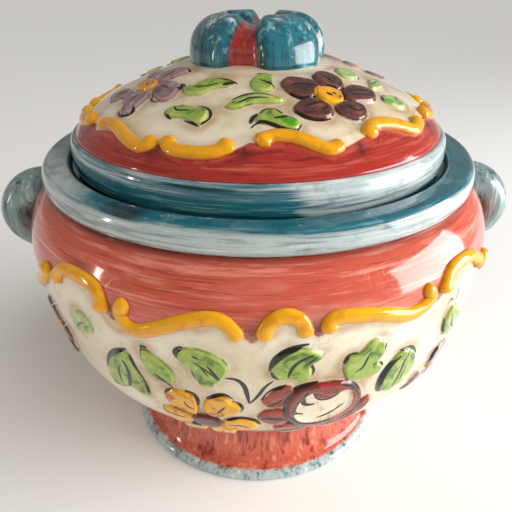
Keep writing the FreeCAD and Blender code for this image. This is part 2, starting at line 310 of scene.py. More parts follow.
@dataclass(frozen=True)
class PaintedWall:
    """Cream ground with a red band, and painted relief on it.

    The mesh carries band, cover, ink and tone: millimetres inside the band, inside a painted shape and
    inside a brush line, and how thick the glaze lies, from -1 where it runs thin to +1 where it gathers. On
    the scrolls tone is painted shade on the lower side and painted highlight on the upper side. Its
    pigments are thin, plain and deep. Line is how dark a broken line runs inside the band's edge, and
    mottle how unevenly the pigments lie.
    """

    name: str
    ink: Colour
    band: Pigment = RED
    line: float = 0.0
    mottle: float = 1.0
    ground: Pigment = CREAM

    def build(self) -> bpy.types.Material:
        """Makes the material."""
        paint = NodePaint(self.name)
        band, cover = paint.attribute("band"), paint.attribute("cover")
        ink, tone = paint.attribute("ink"), paint.attribute("tone")
        cloud = paint.noise(paint.place, 34.0, 3.0)
        mottle = paint.noise(paint.place, 260.0, 3.0, 0.6)
        pool_and_shade, thin_and_highlight = tone.at_least(0.0), (tone * -1.0).at_least(0.0)

        ground = paint.mix(cloud.step(0.36, 0.66), self.ground.thin, self.ground.plain)
        warm = cloud.step(0.52, 0.8) * 0.3 + pool_and_shade * 0.6
        away = (cover * -1.0).at_most(band * -1.0 - 2.6).at_least(0.0)
        # Tan within about 6 mm of the relief and the scrolls: partly glaze gathered round them, partly
        # painted shade in the creases beside them.
        pool_and_shade_near_relief = away.step(6.0, 1.4) * (paint.noise(paint.place, 70.0, 3.0).step(0.4, 0.62) * 0.5 + 0.12)
        ground = paint.mix((warm + pool_and_shade_near_relief).at_most(0.9), ground, self.ground.deep)
        # A paler ring within 1.5 mm of the relief and the scrolls: partly thin glaze at their edges, partly
        # painted highlight.
        ground = paint.mix(away.step(1.5, 0.5) * 0.35, ground, self.ground.thin)

        streak = Glaze.streaks(paint, False, 0.0)
        red = paint.ramp(streak, [(0.0, self.band.deep), (0.26, self.band.plain), (0.6, self.band.plain),
                                  (1.0, self.band.thin)])
        wide = paint.noise(paint.stretched(16.0, 70.0, 5.0), 1.0, 3.0)
        red = paint.mix(wide.step(0.4, 0.62) * 0.55, red, self.band.plain)
        red = paint.mix(wide.step(0.6, 0.74) * 0.5, red, self.band.thin)
        hair = paint.noise(paint.stretched(24.0, 900.0, 2.0), 1.0, 4.0, 0.7).step(0.4, 0.33)
        red = paint.mix(hair * 0.6, red, self.band.deep)
        pale = paint.noise(paint.stretched(30.0, 700.0, 8.0), 1.0, 4.0, 0.7).step(0.56, 0.66)
        red = paint.mix(pale * 0.4, red, self.band.thin)
        line = ((band - 4.6 - (cloud - 0.5) * 9.0) * (1 / 0.9)) ** 2.0
        red = paint.mix(line.step(1.0, 0.1) * mottle.step(0.4, 0.6) * self.line, red, MAROON)
        red = paint.mix((pool_and_shade * 0.85).at_most(1.0), red, MAROON)
        # Paler red just inside the band's edge beside the scrolls: partly thin glaze, partly painted
        # highlight.
        red = paint.mix(band.step(3.5, 2.2) * mottle.step(0.35, 0.6) * 0.45, red, self.band.thin)
        wobble = (mottle - 0.5) * 1.3
        colour = paint.mix((band + wobble).step(-0.25, 0.35), ground, red)

        thin, plain = paint.attribute("pigment_thin", True), paint.attribute("pigment", True)
        deep = paint.attribute("pigment_deep", True)
        lie = paint.noise(paint.place, 150.0, 3.0, 0.62, 0.6)
        laid = paint.mix(lie.step(0.48, 0.34) * self.mottle, plain, deep)
        laid = paint.mix(lie.step(0.54, 0.68) * (0.7 * self.mottle), laid, thin)
        # Thick glaze deepens and thin glaze pales the pigment; on the scrolls the same tone is painted shade
        # below and painted highlight above.
        laid = paint.mix((pool_and_shade * 0.9).at_most(1.0), laid, deep)
        laid = paint.mix((thin_and_highlight * 0.75).at_most(1.0), laid, thin)
        colour = paint.mix((cover + wobble * 0.6).step(-0.15, 0.3), colour, laid)
        colour = paint.mix((ink + wobble * 0.15).step(-0.26, 0.0), colour, self.ink)
        return Glaze.finish(paint, colour, 0.22)


@dataclass(frozen=True)
class BrushedBand:
    """Two colours brushed over each other, which part takes which being the mesh's blend attribute (0 to 1).

    The tone attribute darkens it in dabs: pooled glaze and darker dabs on some parts, painted shade in
    recesses and undersides on others, such as the collar's gallery, the flange's underside and the lugs'
    hollows. Its smear attribute lets the white clay show.
    """

    name: str
    first: Pigment
    second: Pigment
    upright: bool = False
    wash: float = 0.35

    def build(self) -> bpy.types.Material:
        """Makes the material."""
        paint = NodePaint(self.name)
        streak = Glaze.streaks(paint, self.upright, 1.7)
        other = Glaze.streaks(paint, self.upright, 9.4)
        tone, blend = paint.attribute("tone"), paint.attribute("blend")
        colours = []
        for pigment, lay in ((self.first, streak), (self.second, other)):
            colours.append(paint.ramp(lay, [(0.0, pigment.deep), (0.42, pigment.plain), (0.7, pigment.plain),
                                            (1.0, pigment.thin)]))
        share = (blend + (streak - 0.5) * self.wash).step(0.35, 0.65)
        colour = paint.mix(share, colours[0], colours[1])
        patch = paint.noise(paint.place, 90.0, 4.0, 0.6, 1.2)
        smear = (paint.attribute("smear") * 0.3 + patch - 0.74).step(-0.02, 0.12)
        colour = paint.mix(smear * 0.75, colour, MIST.thin)
        dark = paint.mix(share, self.first.deep, self.second.deep)
        dabs = paint.noise(paint.stretched(60.0, 26.0, 4.0), 1.0, 3.0, 0.6).step(0.44, 0.58) * 0.6 + 0.4
        smudge = paint.noise(paint.place, 75.0, 4.0, 0.65).step(0.56, 0.72) * 0.45
        # Darkening by tone: pooled glaze and dabs on some parts, painted shade in recesses and undersides on
        # others.
        colour = paint.mix((tone.at_least(0.0) * dabs * 0.9).at_least(smudge).at_most(0.9), colour, dark)
        return Glaze.finish(paint, colour, 0.14)


# ---------------------------------------------------------------- curves and turned walls
def cubic(knots: np.ndarray, values: np.ndarray, where: np.ndarray) -> np.ndarray:
    """Interpolates smoothly with a natural cubic.

    Args:
        knots: Increasing positions.
        values: One row of values for each knot.
        where: Positions to interpolate at.

    Returns:
        One row for each position.
    """
    count, gaps = len(knots), np.diff(knots)
    matrix, right = np.eye(count), np.zeros_like(values)
    for i in range(1, count - 1):
        matrix[i, i - 1:i + 2] = gaps[i - 1], 2 * (gaps[i - 1] + gaps[i]), gaps[i]
        right[i] = 6 * ((values[i + 1] - values[i]) / gaps[i] - (values[i] - values[i - 1]) / gaps[i - 1])
    bend = np.linalg.solve(matrix, right)
    k = np.clip(np.searchsorted(knots, where) - 1, 0, count - 2)
    after = ((knots[k + 1] - where) / gaps[k])[:, None]
    before = 1 - after
    lift = (after ** 3 - after) * bend[k] + (before ** 3 - before) * bend[k + 1]
    return after * values[k] + before * values[k + 1] + lift * (gaps[k] ** 2)[:, None] / 6


def smooth(points: Points, step: float, closed: bool = False) -> np.ndarray:
    """Runs an evenly spaced smooth line through points.

    Args:
        points: Two or more places.
        step: The spacing wanted.
        closed: Whether the line returns to its start.

    Returns:
        Points along the line. A closed one doesn't repeat its first point.
    """
    base = np.array(points, float)
    if closed:
        base = np.vstack([base[-3:], base, base[:4]])
    knots = np.r_[0, np.cumsum(np.linalg.norm(np.diff(base, axis=0), axis=1))]
    fine = np.linspace(knots[0], knots[-1], 40 * len(base))
    dense = cubic(knots, base, fine)
    if closed:
        keep = (fine >= knots[3]) & (fine < knots[3 + len(points)])
        dense = dense[keep]
        dense = np.vstack([dense, dense[:1]])
    length = np.r_[0, np.cumsum(np.linalg.norm(np.diff(dense, axis=0), axis=1))]
    count = max(3, int(round(length[-1] / step)))
    even = np.linspace(0, length[-1], count + 1)[:count if closed else count + 1]
    return np.column_stack([np.interp(even, length, dense[:, i]) for i in range(dense.shape[1])])


class Station(Enum):
    """How a place along a wall's profile is given."""

    HEIGHT = 1
    RADIUS = 0


class Wall:
    """A turned wall that relief is applied to, with places on it given by azimuth and station."""

    def __init__(self, profile: Points, station: Station) -> None:
        """Samples the profile.

        Args:
            profile: (radius, height) points from the lowest up.
            station: Whether a station is a height or a radius.
        """
        self.station = station
        self.line = smooth(profile, 0.1)
        self.length = np.r_[0, np.cumsum(np.linalg.norm(np.diff(self.line, axis=0), axis=1))]
        along = np.gradient(self.line, self.length, axis=0)
        self.out = np.column_stack([along[:, 1], -along[:, 0]])

    def run(self, station: float) -> float:
        """The distance along the profile at which a station lies."""
        column = self.line[:, self.station.value]
        gap = np.abs(column - station)
        if self.station is Station.HEIGHT:
            gap = np.where(self.line[:, 0] > 40, gap, 1e9)
        return float(self.length[np.argmin(gap)])

    def section(self, run: np.ndarray) -> tuple[np.ndarray, ...]:
        """Radius, height and outward direction at distances along the profile."""
        parts = (self.line[:, 0], self.line[:, 1], self.out[:, 0], self.out[:, 1])
        return tuple(np.interp(run, self.length, part) for part in parts)

    def spot(self, place: tuple[float, float], flat: np.ndarray) -> tuple[np.ndarray, np.ndarray]:
        """Turns flat (sideways, upward) millimetres about a place into azimuth and profile distance."""
        run = self.run(place[1]) + flat[:, 1]
        radius = np.maximum(self.section(run)[0], 5.0)
        return place[0] + np.degrees(flat[:, 0] / radius), run

    def lay(self, azimuth: np.ndarray, run: np.ndarray, lift: np.ndarray) -> np.ndarray:
        """Positions in millimetres, lifted off the wall along its normal."""
        radius, height, out_r, out_z = self.section(run)
        angle, reach = np.radians(azimuth), radius + lift * out_r
        return np.column_stack([reach * np.sin(angle), -reach * np.cos(angle), height + lift * out_z])


# ---------------------------------------------------------------- meshes
@dataclass
class Shape:
    """A mesh being made: positions in millimetres, faces and the attributes that its glaze reads."""

    points: np.ndarray
    faces: list
    fields: dict[str, np.ndarray]

    def joined(self, other: "Shape") -> "Shape":
        """This shape and another in one mesh."""
        shift = len(self.points)
        faces = self.faces + [tuple(index + shift for index in face) for face in other.faces]
        fields = {key: np.concatenate([self.fields[key], other.fields[key]]) for key in self.fields}
        return Shape(np.vstack([self.points, other.points]), faces, fields)

    def turned_round(self) -> "Shape":
        """The same shape half a turn round the pot."""
        return Shape(self.points * np.array([-1.0, -1.0, 1.0]), self.faces, self.fields)

    def outward(self) -> "Shape":
        """The same shape with its faces pointing out."""
        corners = self.points[np.array([(*face[:3], face[-1]) for face in self.faces])]
        sides = np.cross(corners[:, 1], corners[:, 2]) + np.cross(corners[:, 2], corners[:, 3])
        if (corners[:, 0] * sides).sum() < 0:
            self.faces = [face[::-1] for face in self.faces]
        return self


def add_fields(mesh: bpy.types.Mesh, fields: dict[str, np.ndarray]) -> None:
    """Stores number and colour attributes on a mesh's points."""
    for name, values in fields.items():
        if values.ndim == 1:
            made = mesh.attributes.new(name, "FLOAT", "POINT")
            made.data.foreach_set("value", values.astype(np.float32))
        else:
            made = mesh.attributes.new(name, "FLOAT_COLOR", "POINT")
            solid = np.column_stack([values, np.ones(len(values))])
            made.data.foreach_set("color", solid.astype(np.float32).ravel())


def show(mesh: bpy.types.Mesh, name: str, material: bpy.types.Material, body: str,
         stands_for: Sequence[str]) -> bpy.types.Object:
    """Puts a finished mesh in the scene as one piece.

    Args:
        mesh: The mesh, in metres.
        name: The piece's name.
        material: Its finish.
        body: The body it rides on.
        stands_for: The CAD nodes it replaces.

    Returns:
        The new object.
    """
    mesh.materials.clear()
    mesh.materials.append(material)
    mesh.shade_smooth()
    piece = bpy.data.objects.new(name, mesh)
    bpy.context.collection.objects.link(piece)
    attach(piece, body)
    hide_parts(*stands_for)
    LOG.info("%s: %d points, rides on %s", name, len(mesh.vertices), body)
    return piece


def piece_of(shape: Shape, name: str, material: bpy.types.Material, body: str,
             stands_for: Sequence[str]) -> bpy.types.Object:
    """Makes a piece from a shape. The arguments are those of show()."""
    mesh = bpy.data.meshes.new(name)
    mesh.from_pydata((shape.points * MM).tolist(), [], shape.faces)
    add_fields(mesh, shape.fields)
    return show(mesh, name, material, body, stands_for)


def lathe(profile: np.ndarray, turns: int) -> Shape:
    """Turns a profile about the Z axis.

    Args:
        profile: (radius, height) rows. Its ends lie on the axis, or else it closes on itself.
        turns: The number of segments in a full turn.

    Returns:
        The closed shape, with azimuth, radius and height fields for painting.
    """
    poles = profile[0, 0] < 1e-6
    rows = profile[1:-1] if poles else profile
    azimuth = np.arange(turns) * 360.0 / turns
    radius, height = np.repeat(rows[:, 0], turns), np.repeat(rows[:, 1], turns)
    turn = np.tile(azimuth, len(rows))
    points = np.column_stack([radius * np.sin(np.radians(turn)), -radius * np.cos(np.radians(turn)), height])
    faces = []
    row_pairs = len(rows) - 1 if poles else len(rows)
    for i in range(row_pairs):
        low, high = i * turns, ((i + 1) % len(rows)) * turns
        faces += [(low + j, low + (j + 1) % turns, high + (j + 1) % turns, high + j) for j in range(turns)]
    if poles:
        start, end = len(points), len(points) + 1
        points = np.vstack([points, [0, 0, profile[0, 1]], [0, 0, profile[-1, 1]]])
        last = (len(rows) - 1) * turns
        faces += [(start, (j + 1) % turns, j) for j in range(turns)]
        faces += [(end, last + j, last + (j + 1) % turns) for j in range(turns)]
        turn = np.r_[turn, 0, 0]
    shape = Shape(points, faces, {})
    shape.fields = {"azimuth": turn, "radius": np.hypot(points[:, 0], points[:, 1]), "height": points[:, 2]}
    return shape.outward()


# ---------------------------------------------------------------- relief: leaves and flowers
@dataclass(frozen=True)
class Stroke:
    """A line drawn with a pointed brush: fullest in the middle and thin at its ends."""

    points: Points
    width: float = 0.9

    def depth(self, flat: np.ndarray) -> np.ndarray:
        """How far inside the line each place lies, in millimetres."""
        if len(self.points) > 2:
            line = smooth(self.points, 0.3)
        else:
            line = np.linspace(*map(np.array, self.points), 20)
        share = np.linspace(0, 1, len(line))
        half = 0.5 * self.width * (0.25 + 0.75 * np.sin(np.pi * share) ** 0.7)
        gap = np.linalg.norm(flat[:, None, :] - line[None, :, :], axis=2)
        return (half[None, :] - gap).max(axis=1)


@dataclass(frozen=True)
class Petal:
    """One raised, painted shape: its outline, its pigment and how proud it stands."""

    outline: Points
    pigment: Pigment
    proud: float = 1.5
    soft: float = 1.5

    def inside(self, flat: np.ndarray) -> np.ndarray:
        """Distance inside the outline, negative outside it."""
        ring = smooth(self.outline, 0.8, closed=True)
        after = np.roll(ring, -1, axis=0)
        edge = after - ring
        to_place = flat[:, None, :] - ring[None, :, :]
        share = np.clip((to_place * edge).sum(axis=2) / (edge ** 2).sum(axis=1), 0, 1)
        gap = np.linalg.norm(to_place - share[:, :, None] * edge, axis=2).min(axis=1)
        above = ring[None, :, 1] > flat[:, None, 1]
        next_above = after[None, :, 1] > flat[:, None, 1]
        slope = edge[:, 0] / np.where(edge[:, 1] == 0, 1e-9, edge[:, 1])
        crossing = flat[:, None, 0] < ring[None, :, 0] + slope * (flat[:, None, 1] - ring[None, :, 1])
        within = ((above != next_above) & crossing).sum(axis=1) % 2 == 1
        return np.where(within, gap, -gap)


@dataclass(frozen=True)
class Motif:
    """A leaf or a flower: where it lies, its raised shapes from the lowest up, and its brush lines."""

    place: tuple[float, float]
    petals: Sequence[Petal]
    strokes: Sequence[Stroke] = ()

    SPACING = 0.36
    SUNK = 0.55

    def grid(self) -> tuple[np.ndarray, int, int]:
        """A flat net of places over everything in the motif, with its size both ways."""
        marks = [point for petal in self.petals for point in petal.outline]
        marks += [point for stroke in self.strokes for point in stroke.points]
        low, high = np.min(marks, axis=0) - 1.8, np.max(marks, axis=0) + 1.8
        wide, tall = (int(math.ceil(size / self.SPACING)) + 1 for size in high - low)
        (across, up) = np.meshgrid(
            low[0] + self.SPACING * np.arange(wide), low[1] + self.SPACING * np.arange(tall))
        return np.column_stack([across.ravel(), up.ravel()]), wide, tall

    def sculpt(self, wall: Wall, band: Callable[[np.ndarray, np.ndarray], np.ndarray]) -> Shape:
        """Builds the motif on a wall.

        Args:
            wall: The wall it is applied to.
            band: Millimetres inside the wall's red band, by azimuth and distance along the profile.

        Returns:
            A closed thin shape whose rim is sunk in the wall.
        """
        flat, wide, tall = self.grid()
        insides = [petal.inside(flat) for petal in self.petals] or [np.full(len(flat), NO_INK)]
        cover = np.max(insides, axis=0)
        inked = [stroke.depth(flat) for stroke in self.strokes] or [np.full(len(flat), NO_INK)]
        ink = np.max(inked, axis=0)
        lift, pigments = np.zeros(len(flat)), np.zeros((3, len(flat), 3))
        nearest = np.argmax(insides, axis=0)
        for k, (petal, depth) in enumerate(zip(self.petals, insides)):
            share = np.clip(depth / petal.soft, 0, 1)
            swell = petal.proud * (1 - (1 - share) ** 2)
            lift = lift + swell if petal.proud < 0 else np.maximum(lift, swell)
            here = (depth > -0.05) | ((nearest == k) & (cover < 0))
            for layer, colour in enumerate((petal.pigment.thin, petal.pigment.plain, petal.pigment.deep)):
                pigments[layer][here] = colour
        lift -= 0.22 * np.clip(ink / 0.3 + 0.5, 0, 1) * np.clip(cover / 1.0, 0, 1)
        reach = np.maximum(cover, ink + 0.3)
        lift = np.where(reach < 0, np.clip(0.3 + reach, -self.SUNK, 0.05), lift + 0.05)
        tone = 0.8 * np.exp(-((cover + 0.3) / 0.6) ** 2) - 0.8 * np.exp(-((cover - 0.75) / 0.45) ** 2)
        azimuth, run = wall.spot(self.place, flat)
        used = (reach > -0.85).reshape(tall, wide)
        cells = used[1:, 1:] & used[:-1, 1:] & used[1:, :-1] & used[:-1, :-1]
        top = wall.lay(azimuth, run, lift)
        fields = {"band": band(azimuth, run), "cover": cover, "ink": ink, "tone": tone,
                  "pigment_thin": pigments[0], "pigment": pigments[1], "pigment_deep": pigments[2]}
        return slab(top, wall.lay(azimuth, run, np.full(len(flat), -self.SUNK - 0.6)), cells, fields)


def slab(top: np.ndarray, under: np.ndarray, cells: np.ndarray, fields: dict[str, np.ndarray]) -> Shape:
    """Closes a net of places into a thin solid.

    Args:
        top: Positions of the net's upper side, row by row.
        under: Positions of its lower side.
        cells: Which of the net's cells are filled.
        fields: The attributes of the upper side, which the lower side takes too.

    Returns:
        The closed shape, without unused points.
    """
    wide, shift = cells.shape[1] + 1, len(top)
    faces = []
    for i, j in zip(*np.nonzero(cells)):
        a = i * wide + j
        ring = (a, a + 1, a + 1 + wide, a + wide)
        faces += [ring, tuple(index + shift for index in ring[::-1])]
        beside = ((i - 1, j), (i, j + 1), (i + 1, j), (i, j - 1))
        for side, (row, column) in enumerate(beside):
            filled = 0 <= row < cells.shape[0] and 0 <= column < cells.shape[1] and cells[row, column]
            if not filled:
                start, end = ring[side], ring[(side + 1) % 4]
                faces.append((end, start, start + shift, end + shift))
    used = np.unique(np.array([index for face in faces for index in face]))
    renamed = np.full(2 * shift, -1)
    renamed[used] = np.arange(len(used))
    faces = [tuple(int(renamed[index]) for index in face) for face in faces]
    both = {key: np.concatenate([values, values])[used] for key, values in fields.items()}
    return Shape(np.vstack([top, under])[used], faces, both).outward()


# ---------------------------------------------------------------- relief: scroll mouldings
class BeadTree:
    """Geometry Nodes that sweep a round bead along a line whose points say how thick it is."""

    def __init__(self) -> None:
        """Builds the tree with its named inputs."""
        self.tree = bpy.data.node_groups.new("scroll_bead", "GeometryNodeTree")
        face = self.tree.interface
        face.new_socket("Geometry", in_out="INPUT", socket_type="NodeSocketGeometry")
        self.inputs = {name: face.new_socket(name, in_out="INPUT", socket_type=f"NodeSocket{kind}").identifier
                       for name, kind in (("Bead radius", "Float"), ("Sides", "Int"), ("Glaze", "Material"))}
        face.new_socket("Geometry", in_out="OUTPUT", socket_type="NodeSocketGeometry")
        start, end = self._add("NodeGroupInput"), self._add("NodeGroupOutput")
        line, ring = self._add("GeometryNodeMeshToCurve"), self._add("GeometryNodeCurvePrimitiveCircle")
        thick, sweep = self._add("GeometryNodeInputNamedAttribute"), self._add("GeometryNodeCurveToMesh")
        real, coat = self._add("GeometryNodeRealizeInstances"), self._add("GeometryNodeSetMaterial")
        thick.data_type = "FLOAT"
        thick.inputs["Name"].default_value = "thick"
        sweep.inputs["Fill Caps"].default_value = True
        self._link(start.outputs["Geometry"], line.inputs["Mesh"])
        self._link(start.outputs["Bead radius"], ring.inputs["Radius"])
        self._link(start.outputs["Sides"], ring.inputs["Resolution"])
        if "Scale" in sweep.inputs:
            self._link(line.outputs["Curve"], sweep.inputs["Curve"])
            self._link(thick.outputs["Attribute"], sweep.inputs["Scale"])
        else:
            radius = self._add("GeometryNodeSetCurveRadius")
            self._link(line.outputs["Curve"], radius.inputs["Curve"])
            self._link(thick.outputs["Attribute"], radius.inputs["Radius"])
            self._link(radius.outputs["Curve"], sweep.inputs["Curve"])
        self._link(ring.outputs["Curve"], sweep.inputs["Profile Curve"])
        self._link(sweep.outputs["Mesh"], real.inputs["Geometry"])
        self._link(real.outputs["Geometry"], coat.inputs["Geometry"])
        self._link(start.outputs["Glaze"], coat.inputs["Material"])
        self._link(coat.outputs["Geometry"], end.inputs["Geometry"])

    def _add(self, kind: str) -> bpy.types.Node:
        """Adds one node."""
        return self.tree.nodes.new(kind)

    def _link(self, out: bpy.types.NodeSocket, into: bpy.types.NodeSocket) -> None:
        """Links two sockets."""
        self.tree.links.new(out, into)

    def sweep(self, line: np.ndarray, thick: np.ndarray, radius: float,
              glaze: bpy.types.Material) -> bpy.types.Mesh:
        """Runs the tree.

        Args:
            line: The bead's centre line, in metres.
            thick: The bead's thickness at each point, 1 being the full radius.
            radius: That radius, in metres.
            glaze: The bead's material.

        Returns:
            The bead as a plain mesh, with each point's share of the way along.
        """
        mesh = bpy.data.meshes.new("scroll_line")
        mesh.from_pydata(line.tolist(), [(i, i + 1) for i in range(len(line) - 1)], [])
        add_fields(mesh, {"thick": thick, "share": np.linspace(0, 1, len(line))})
        holder = bpy.data.objects.new("scroll_line", mesh)
        bpy.context.collection.objects.link(holder)
        modifier = holder.modifiers.new("bead", "NODES")
        modifier.node_group = self.tree
        for name, value in (("Bead radius", radius), ("Sides", 20), ("Glaze", glaze)):
            modifier[self.inputs[name]] = value
        graph = bpy.context.evaluated_depsgraph_get()
        made = bpy.data.meshes.new_from_object(holder.evaluated_get(graph))
        holder.modifiers.remove(modifier)
        bpy.data.objects.remove(holder)
        return made


@dataclass(frozen=True)
class Scroll:
    """A rolled strip of clay along (azimuth, station) places, with a curled or a plain start and end."""

    route: Points
    curl_start: float = 0.32
    curl_end: float = 0.32

    RADIUS = 3.05
    RISE = 0.3
    FLAT = 0.72

    def sculpt(self, wall: Wall, tree: BeadTree, glaze: bpy.types.Material) -> Shape:
        """Builds the strip on a wall.

        Args:
            wall: The wall it is laid on.
            tree: The node tree that sweeps it.
            glaze: Its material.

        Returns:
            The closed shape, painted by where each point lies across the strip.
        """
        centre = self.route[len(self.route) // 2]
        start = wall.run(centre[1])
        flat = []
        for azimuth, station in self.route:
            run = wall.run(station)
            radius = float(wall.section(np.array([run]))[0][0])
            flat.append((math.radians(azimuth - centre[0]) * radius, run - start))
        flat = smooth(flat, 0.7)
        azimuth, run = wall.spot(centre, flat)
        line = wall.lay(azimuth, run, np.full(len(flat), self.RISE))
        length = np.r_[0, np.cumsum(np.linalg.norm(np.diff(flat, axis=0), axis=1))]
        from_start, from_end = length, length[-1] - length
        thick = 0.86 + 0.1 * np.sin(np.pi * length / length[-1])
        for gap, curl in ((from_start, self.curl_start), (from_end, self.curl_end)):
            thick = thick + curl * np.exp(-((gap - 2.4) / 2.0) ** 2)
            thick = thick * np.sqrt(np.clip(1 - (1 - np.clip(gap / 2.6, 0.02, 1)) ** 2, 0, 1))
        mesh = tree.sweep(line * MM, thick, self.RADIUS * MM, glaze)
        return self._painted(mesh, wall, line, azimuth, run)

    def _painted(self, mesh: bpy.types.Mesh, wall: Wall, line: np.ndarray, azimuth: np.ndarray,
                 run: np.ndarray) -> Shape:
        """Reads a swept mesh back as a shape and gives it its paint attributes."""
        count = len(mesh.vertices)
        points, share = np.empty(count * 3), np.empty(count)
        mesh.vertices.foreach_get("co", points)
        mesh.attributes["share"].data.foreach_get("value", share)
        points = points.reshape(-1, 3) / MM
        faces = [tuple(polygon.vertices) for polygon in mesh.polygons]
        bpy.data.meshes.remove(mesh)
        along = np.linspace(0, 1, len(line))
        middle = np.column_stack([np.interp(share, along, line[:, i]) for i in range(3)])
        here, there = np.interp(share, along, azimuth), np.interp(share, along, run)
        above = wall.lay(here, there + 1.0, np.full(count, self.RISE)) - middle
        above /= np.linalg.norm(above, axis=1)[:, None]
        side = ((points - middle) * above).sum(axis=1) / self.RADIUS
        proud = wall.lay(here, there, np.full(count, self.RISE + 1.0)) - middle
        lift = ((points - middle) * proud).sum(axis=1) / self.RADIUS
        points = points - proud * (lift * self.RADIUS * (1 - self.FLAT))[:, None]
        # Tone on the scroll: painted shade on its lower side and along its foot against the wall, painted
        # highlight (negative tone) on its upper side.
        tone = np.clip(-side * 1.1 - 0.45, 0, 0.7) - np.clip(side * 1.2 - 0.6, 0, 0.6)
        tone = tone + 0.6 * np.clip(0.3 - lift, 0, 1) * (side < 0.2)
        ones = np.ones((count, 1))
        fields = {"band": -5 * ones[:, 0], "cover": 2 * ones[:, 0], "ink": -5 * ones[:, 0], "tone": tone,
                  "pigment_thin": ones * YELLOW.thin, "pigment": ones * YELLOW.plain,
                  "pigment_deep": ones * YELLOW.deep}
        return Shape(points, faces, fields).outward()


def wrapped(azimuth: np.ndarray) -> np.ndarray:
    """Azimuths brought between -180 and 180 degrees."""
    return (azimuth + 180) % 360 - 180


def folded_front(azimuth: np.ndarray) -> np.ndarray:
    """Azimuths of either side brought to the front's -90 to 90 degrees, since the back repeats the front."""
    return (azimuth + 90) % 180 - 90


class BandEdge:
    """The wavy lower or upper edge of a wall's red band, the same on the front and the back."""

    def __init__(self, wall: Wall, points: Points, side: int) -> None:
        """Keeps the edge.

        Args:
            wall: The wall that the band is on.
            points: (azimuth, station) places from -90 to 90 degrees.
            side: 1 where the band is above its edge, -1 where it is below.
        """
        self.side = side
        self.azimuth = np.array([point[0] for point in points], float)
        self.runs = np.array([wall.run(point[1]) for point in points])

    def __call__(self, azimuth: np.ndarray, run: np.ndarray) -> np.ndarray:
        """Millimetres inside the band at places on the wall."""
        folded = folded_front(azimuth)
        return self.side * (run - np.interp(folded, self.azimuth, self.runs, period=180))


def pools(azimuth: np.ndarray, band: np.ndarray, gaps: Sequence[float], radius: float) -> np.ndarray:
    """How far the red has pooled in the gaps between the scrolls' ends.

    Args:
        azimuth: Places round the wall.
        band: Millimetres inside the red band there.
        gaps: The gaps' azimuths on the front.
        radius: The wall's radius, to turn degrees into millimetres.

    Returns:
        A tone from 0 to 1.
    """
    folded = folded_front(azimuth)
    away = band - 1.0
    tone = np.zeros(len(azimuth))
    for gap in gaps:
        aside = np.radians(folded - gap) * radius
        tone = np.maximum(tone, np.exp(-(aside / 3.0) ** 2 - (away / np.where(band > 1, 6.0, 1.2)) ** 2))
    return tone


def nearness(wall: Wall, motifs: Sequence[Motif], azimuth: np.ndarray, run: np.ndarray) -> np.ndarray:
    """How near places on a wall lie to its painted relief.

    Args:
        wall: The wall.
        motifs: The relief on its front, which its back repeats.
        azimuth: Places round the wall.
        run: Their distances along the profile.

    Returns:
        Millimetres outside the nearest shape, as a negative number.
    """
    near = np.full(len(azimuth), FAR_OUTSIDE)
    folded, radius = folded_front(azimuth), np.maximum(wall.section(run)[0], 5.0)
    for motif in motifs:
        aside = np.radians(folded - motif.place[0]) * radius
        flat = np.column_stack([aside, run - wall.run(motif.place[1])])
        close = np.abs(flat).max(axis=1) < NEAR_MOTIF
        for petal in motif.petals:
            near[close] = np.maximum(near[close], petal.inside(flat[close]))
    return np.clip(near, FAR_OUTSIDE, -0.4)


# ---------------------------------------------------------------- sub-assemblies
@dataclass
class Decoration:
    """All the applied relief of one wall, on its front and half a turn round on its back."""

    prefix: str
    body: str
    wall: Wall
    edge: BandEdge
    tree: BeadTree
    scrolls: dict[str, Scroll]
    leaves: Sequence[Motif]
    flowers: dict[str, tuple[str, Motif]]

    def build(self, glazes: dict[str, bpy.types.Material]) -> None:
        """Makes every piece.

        Args:
            glazes: Materials named scroll, leaf and flower.
        """
        for name, scroll in self.scrolls.items():
            shape = scroll.sculpt(self.wall, self.tree, glazes["scroll"])
            self._pair(f"{self.prefix}_scroll_{name}", shape, glazes["scroll"])
        shape = None
        for leaf in self.leaves:
            made = leaf.sculpt(self.wall, self.edge)
            shape = made if shape is None else shape.joined(made)
        self._pair(f"{self.prefix}_leaves", shape, glazes["leaf"])
        for name, (slot, flower) in self.flowers.items():
            self._pair(f"{self.prefix}_{name}", flower.sculpt(self.wall, self.edge), glazes["flower"])

    def _pair(self, name: str, shape: Shape, glaze: bpy.types.Material) -> None:
        """Shows a shape on the front and on the back."""
        for side, made in (("front", shape), ("back", shape.turned_round())):
            node = f"{name}_{side}"
            piece_of(made, f"{node}_relief", glaze, self.body, [node])


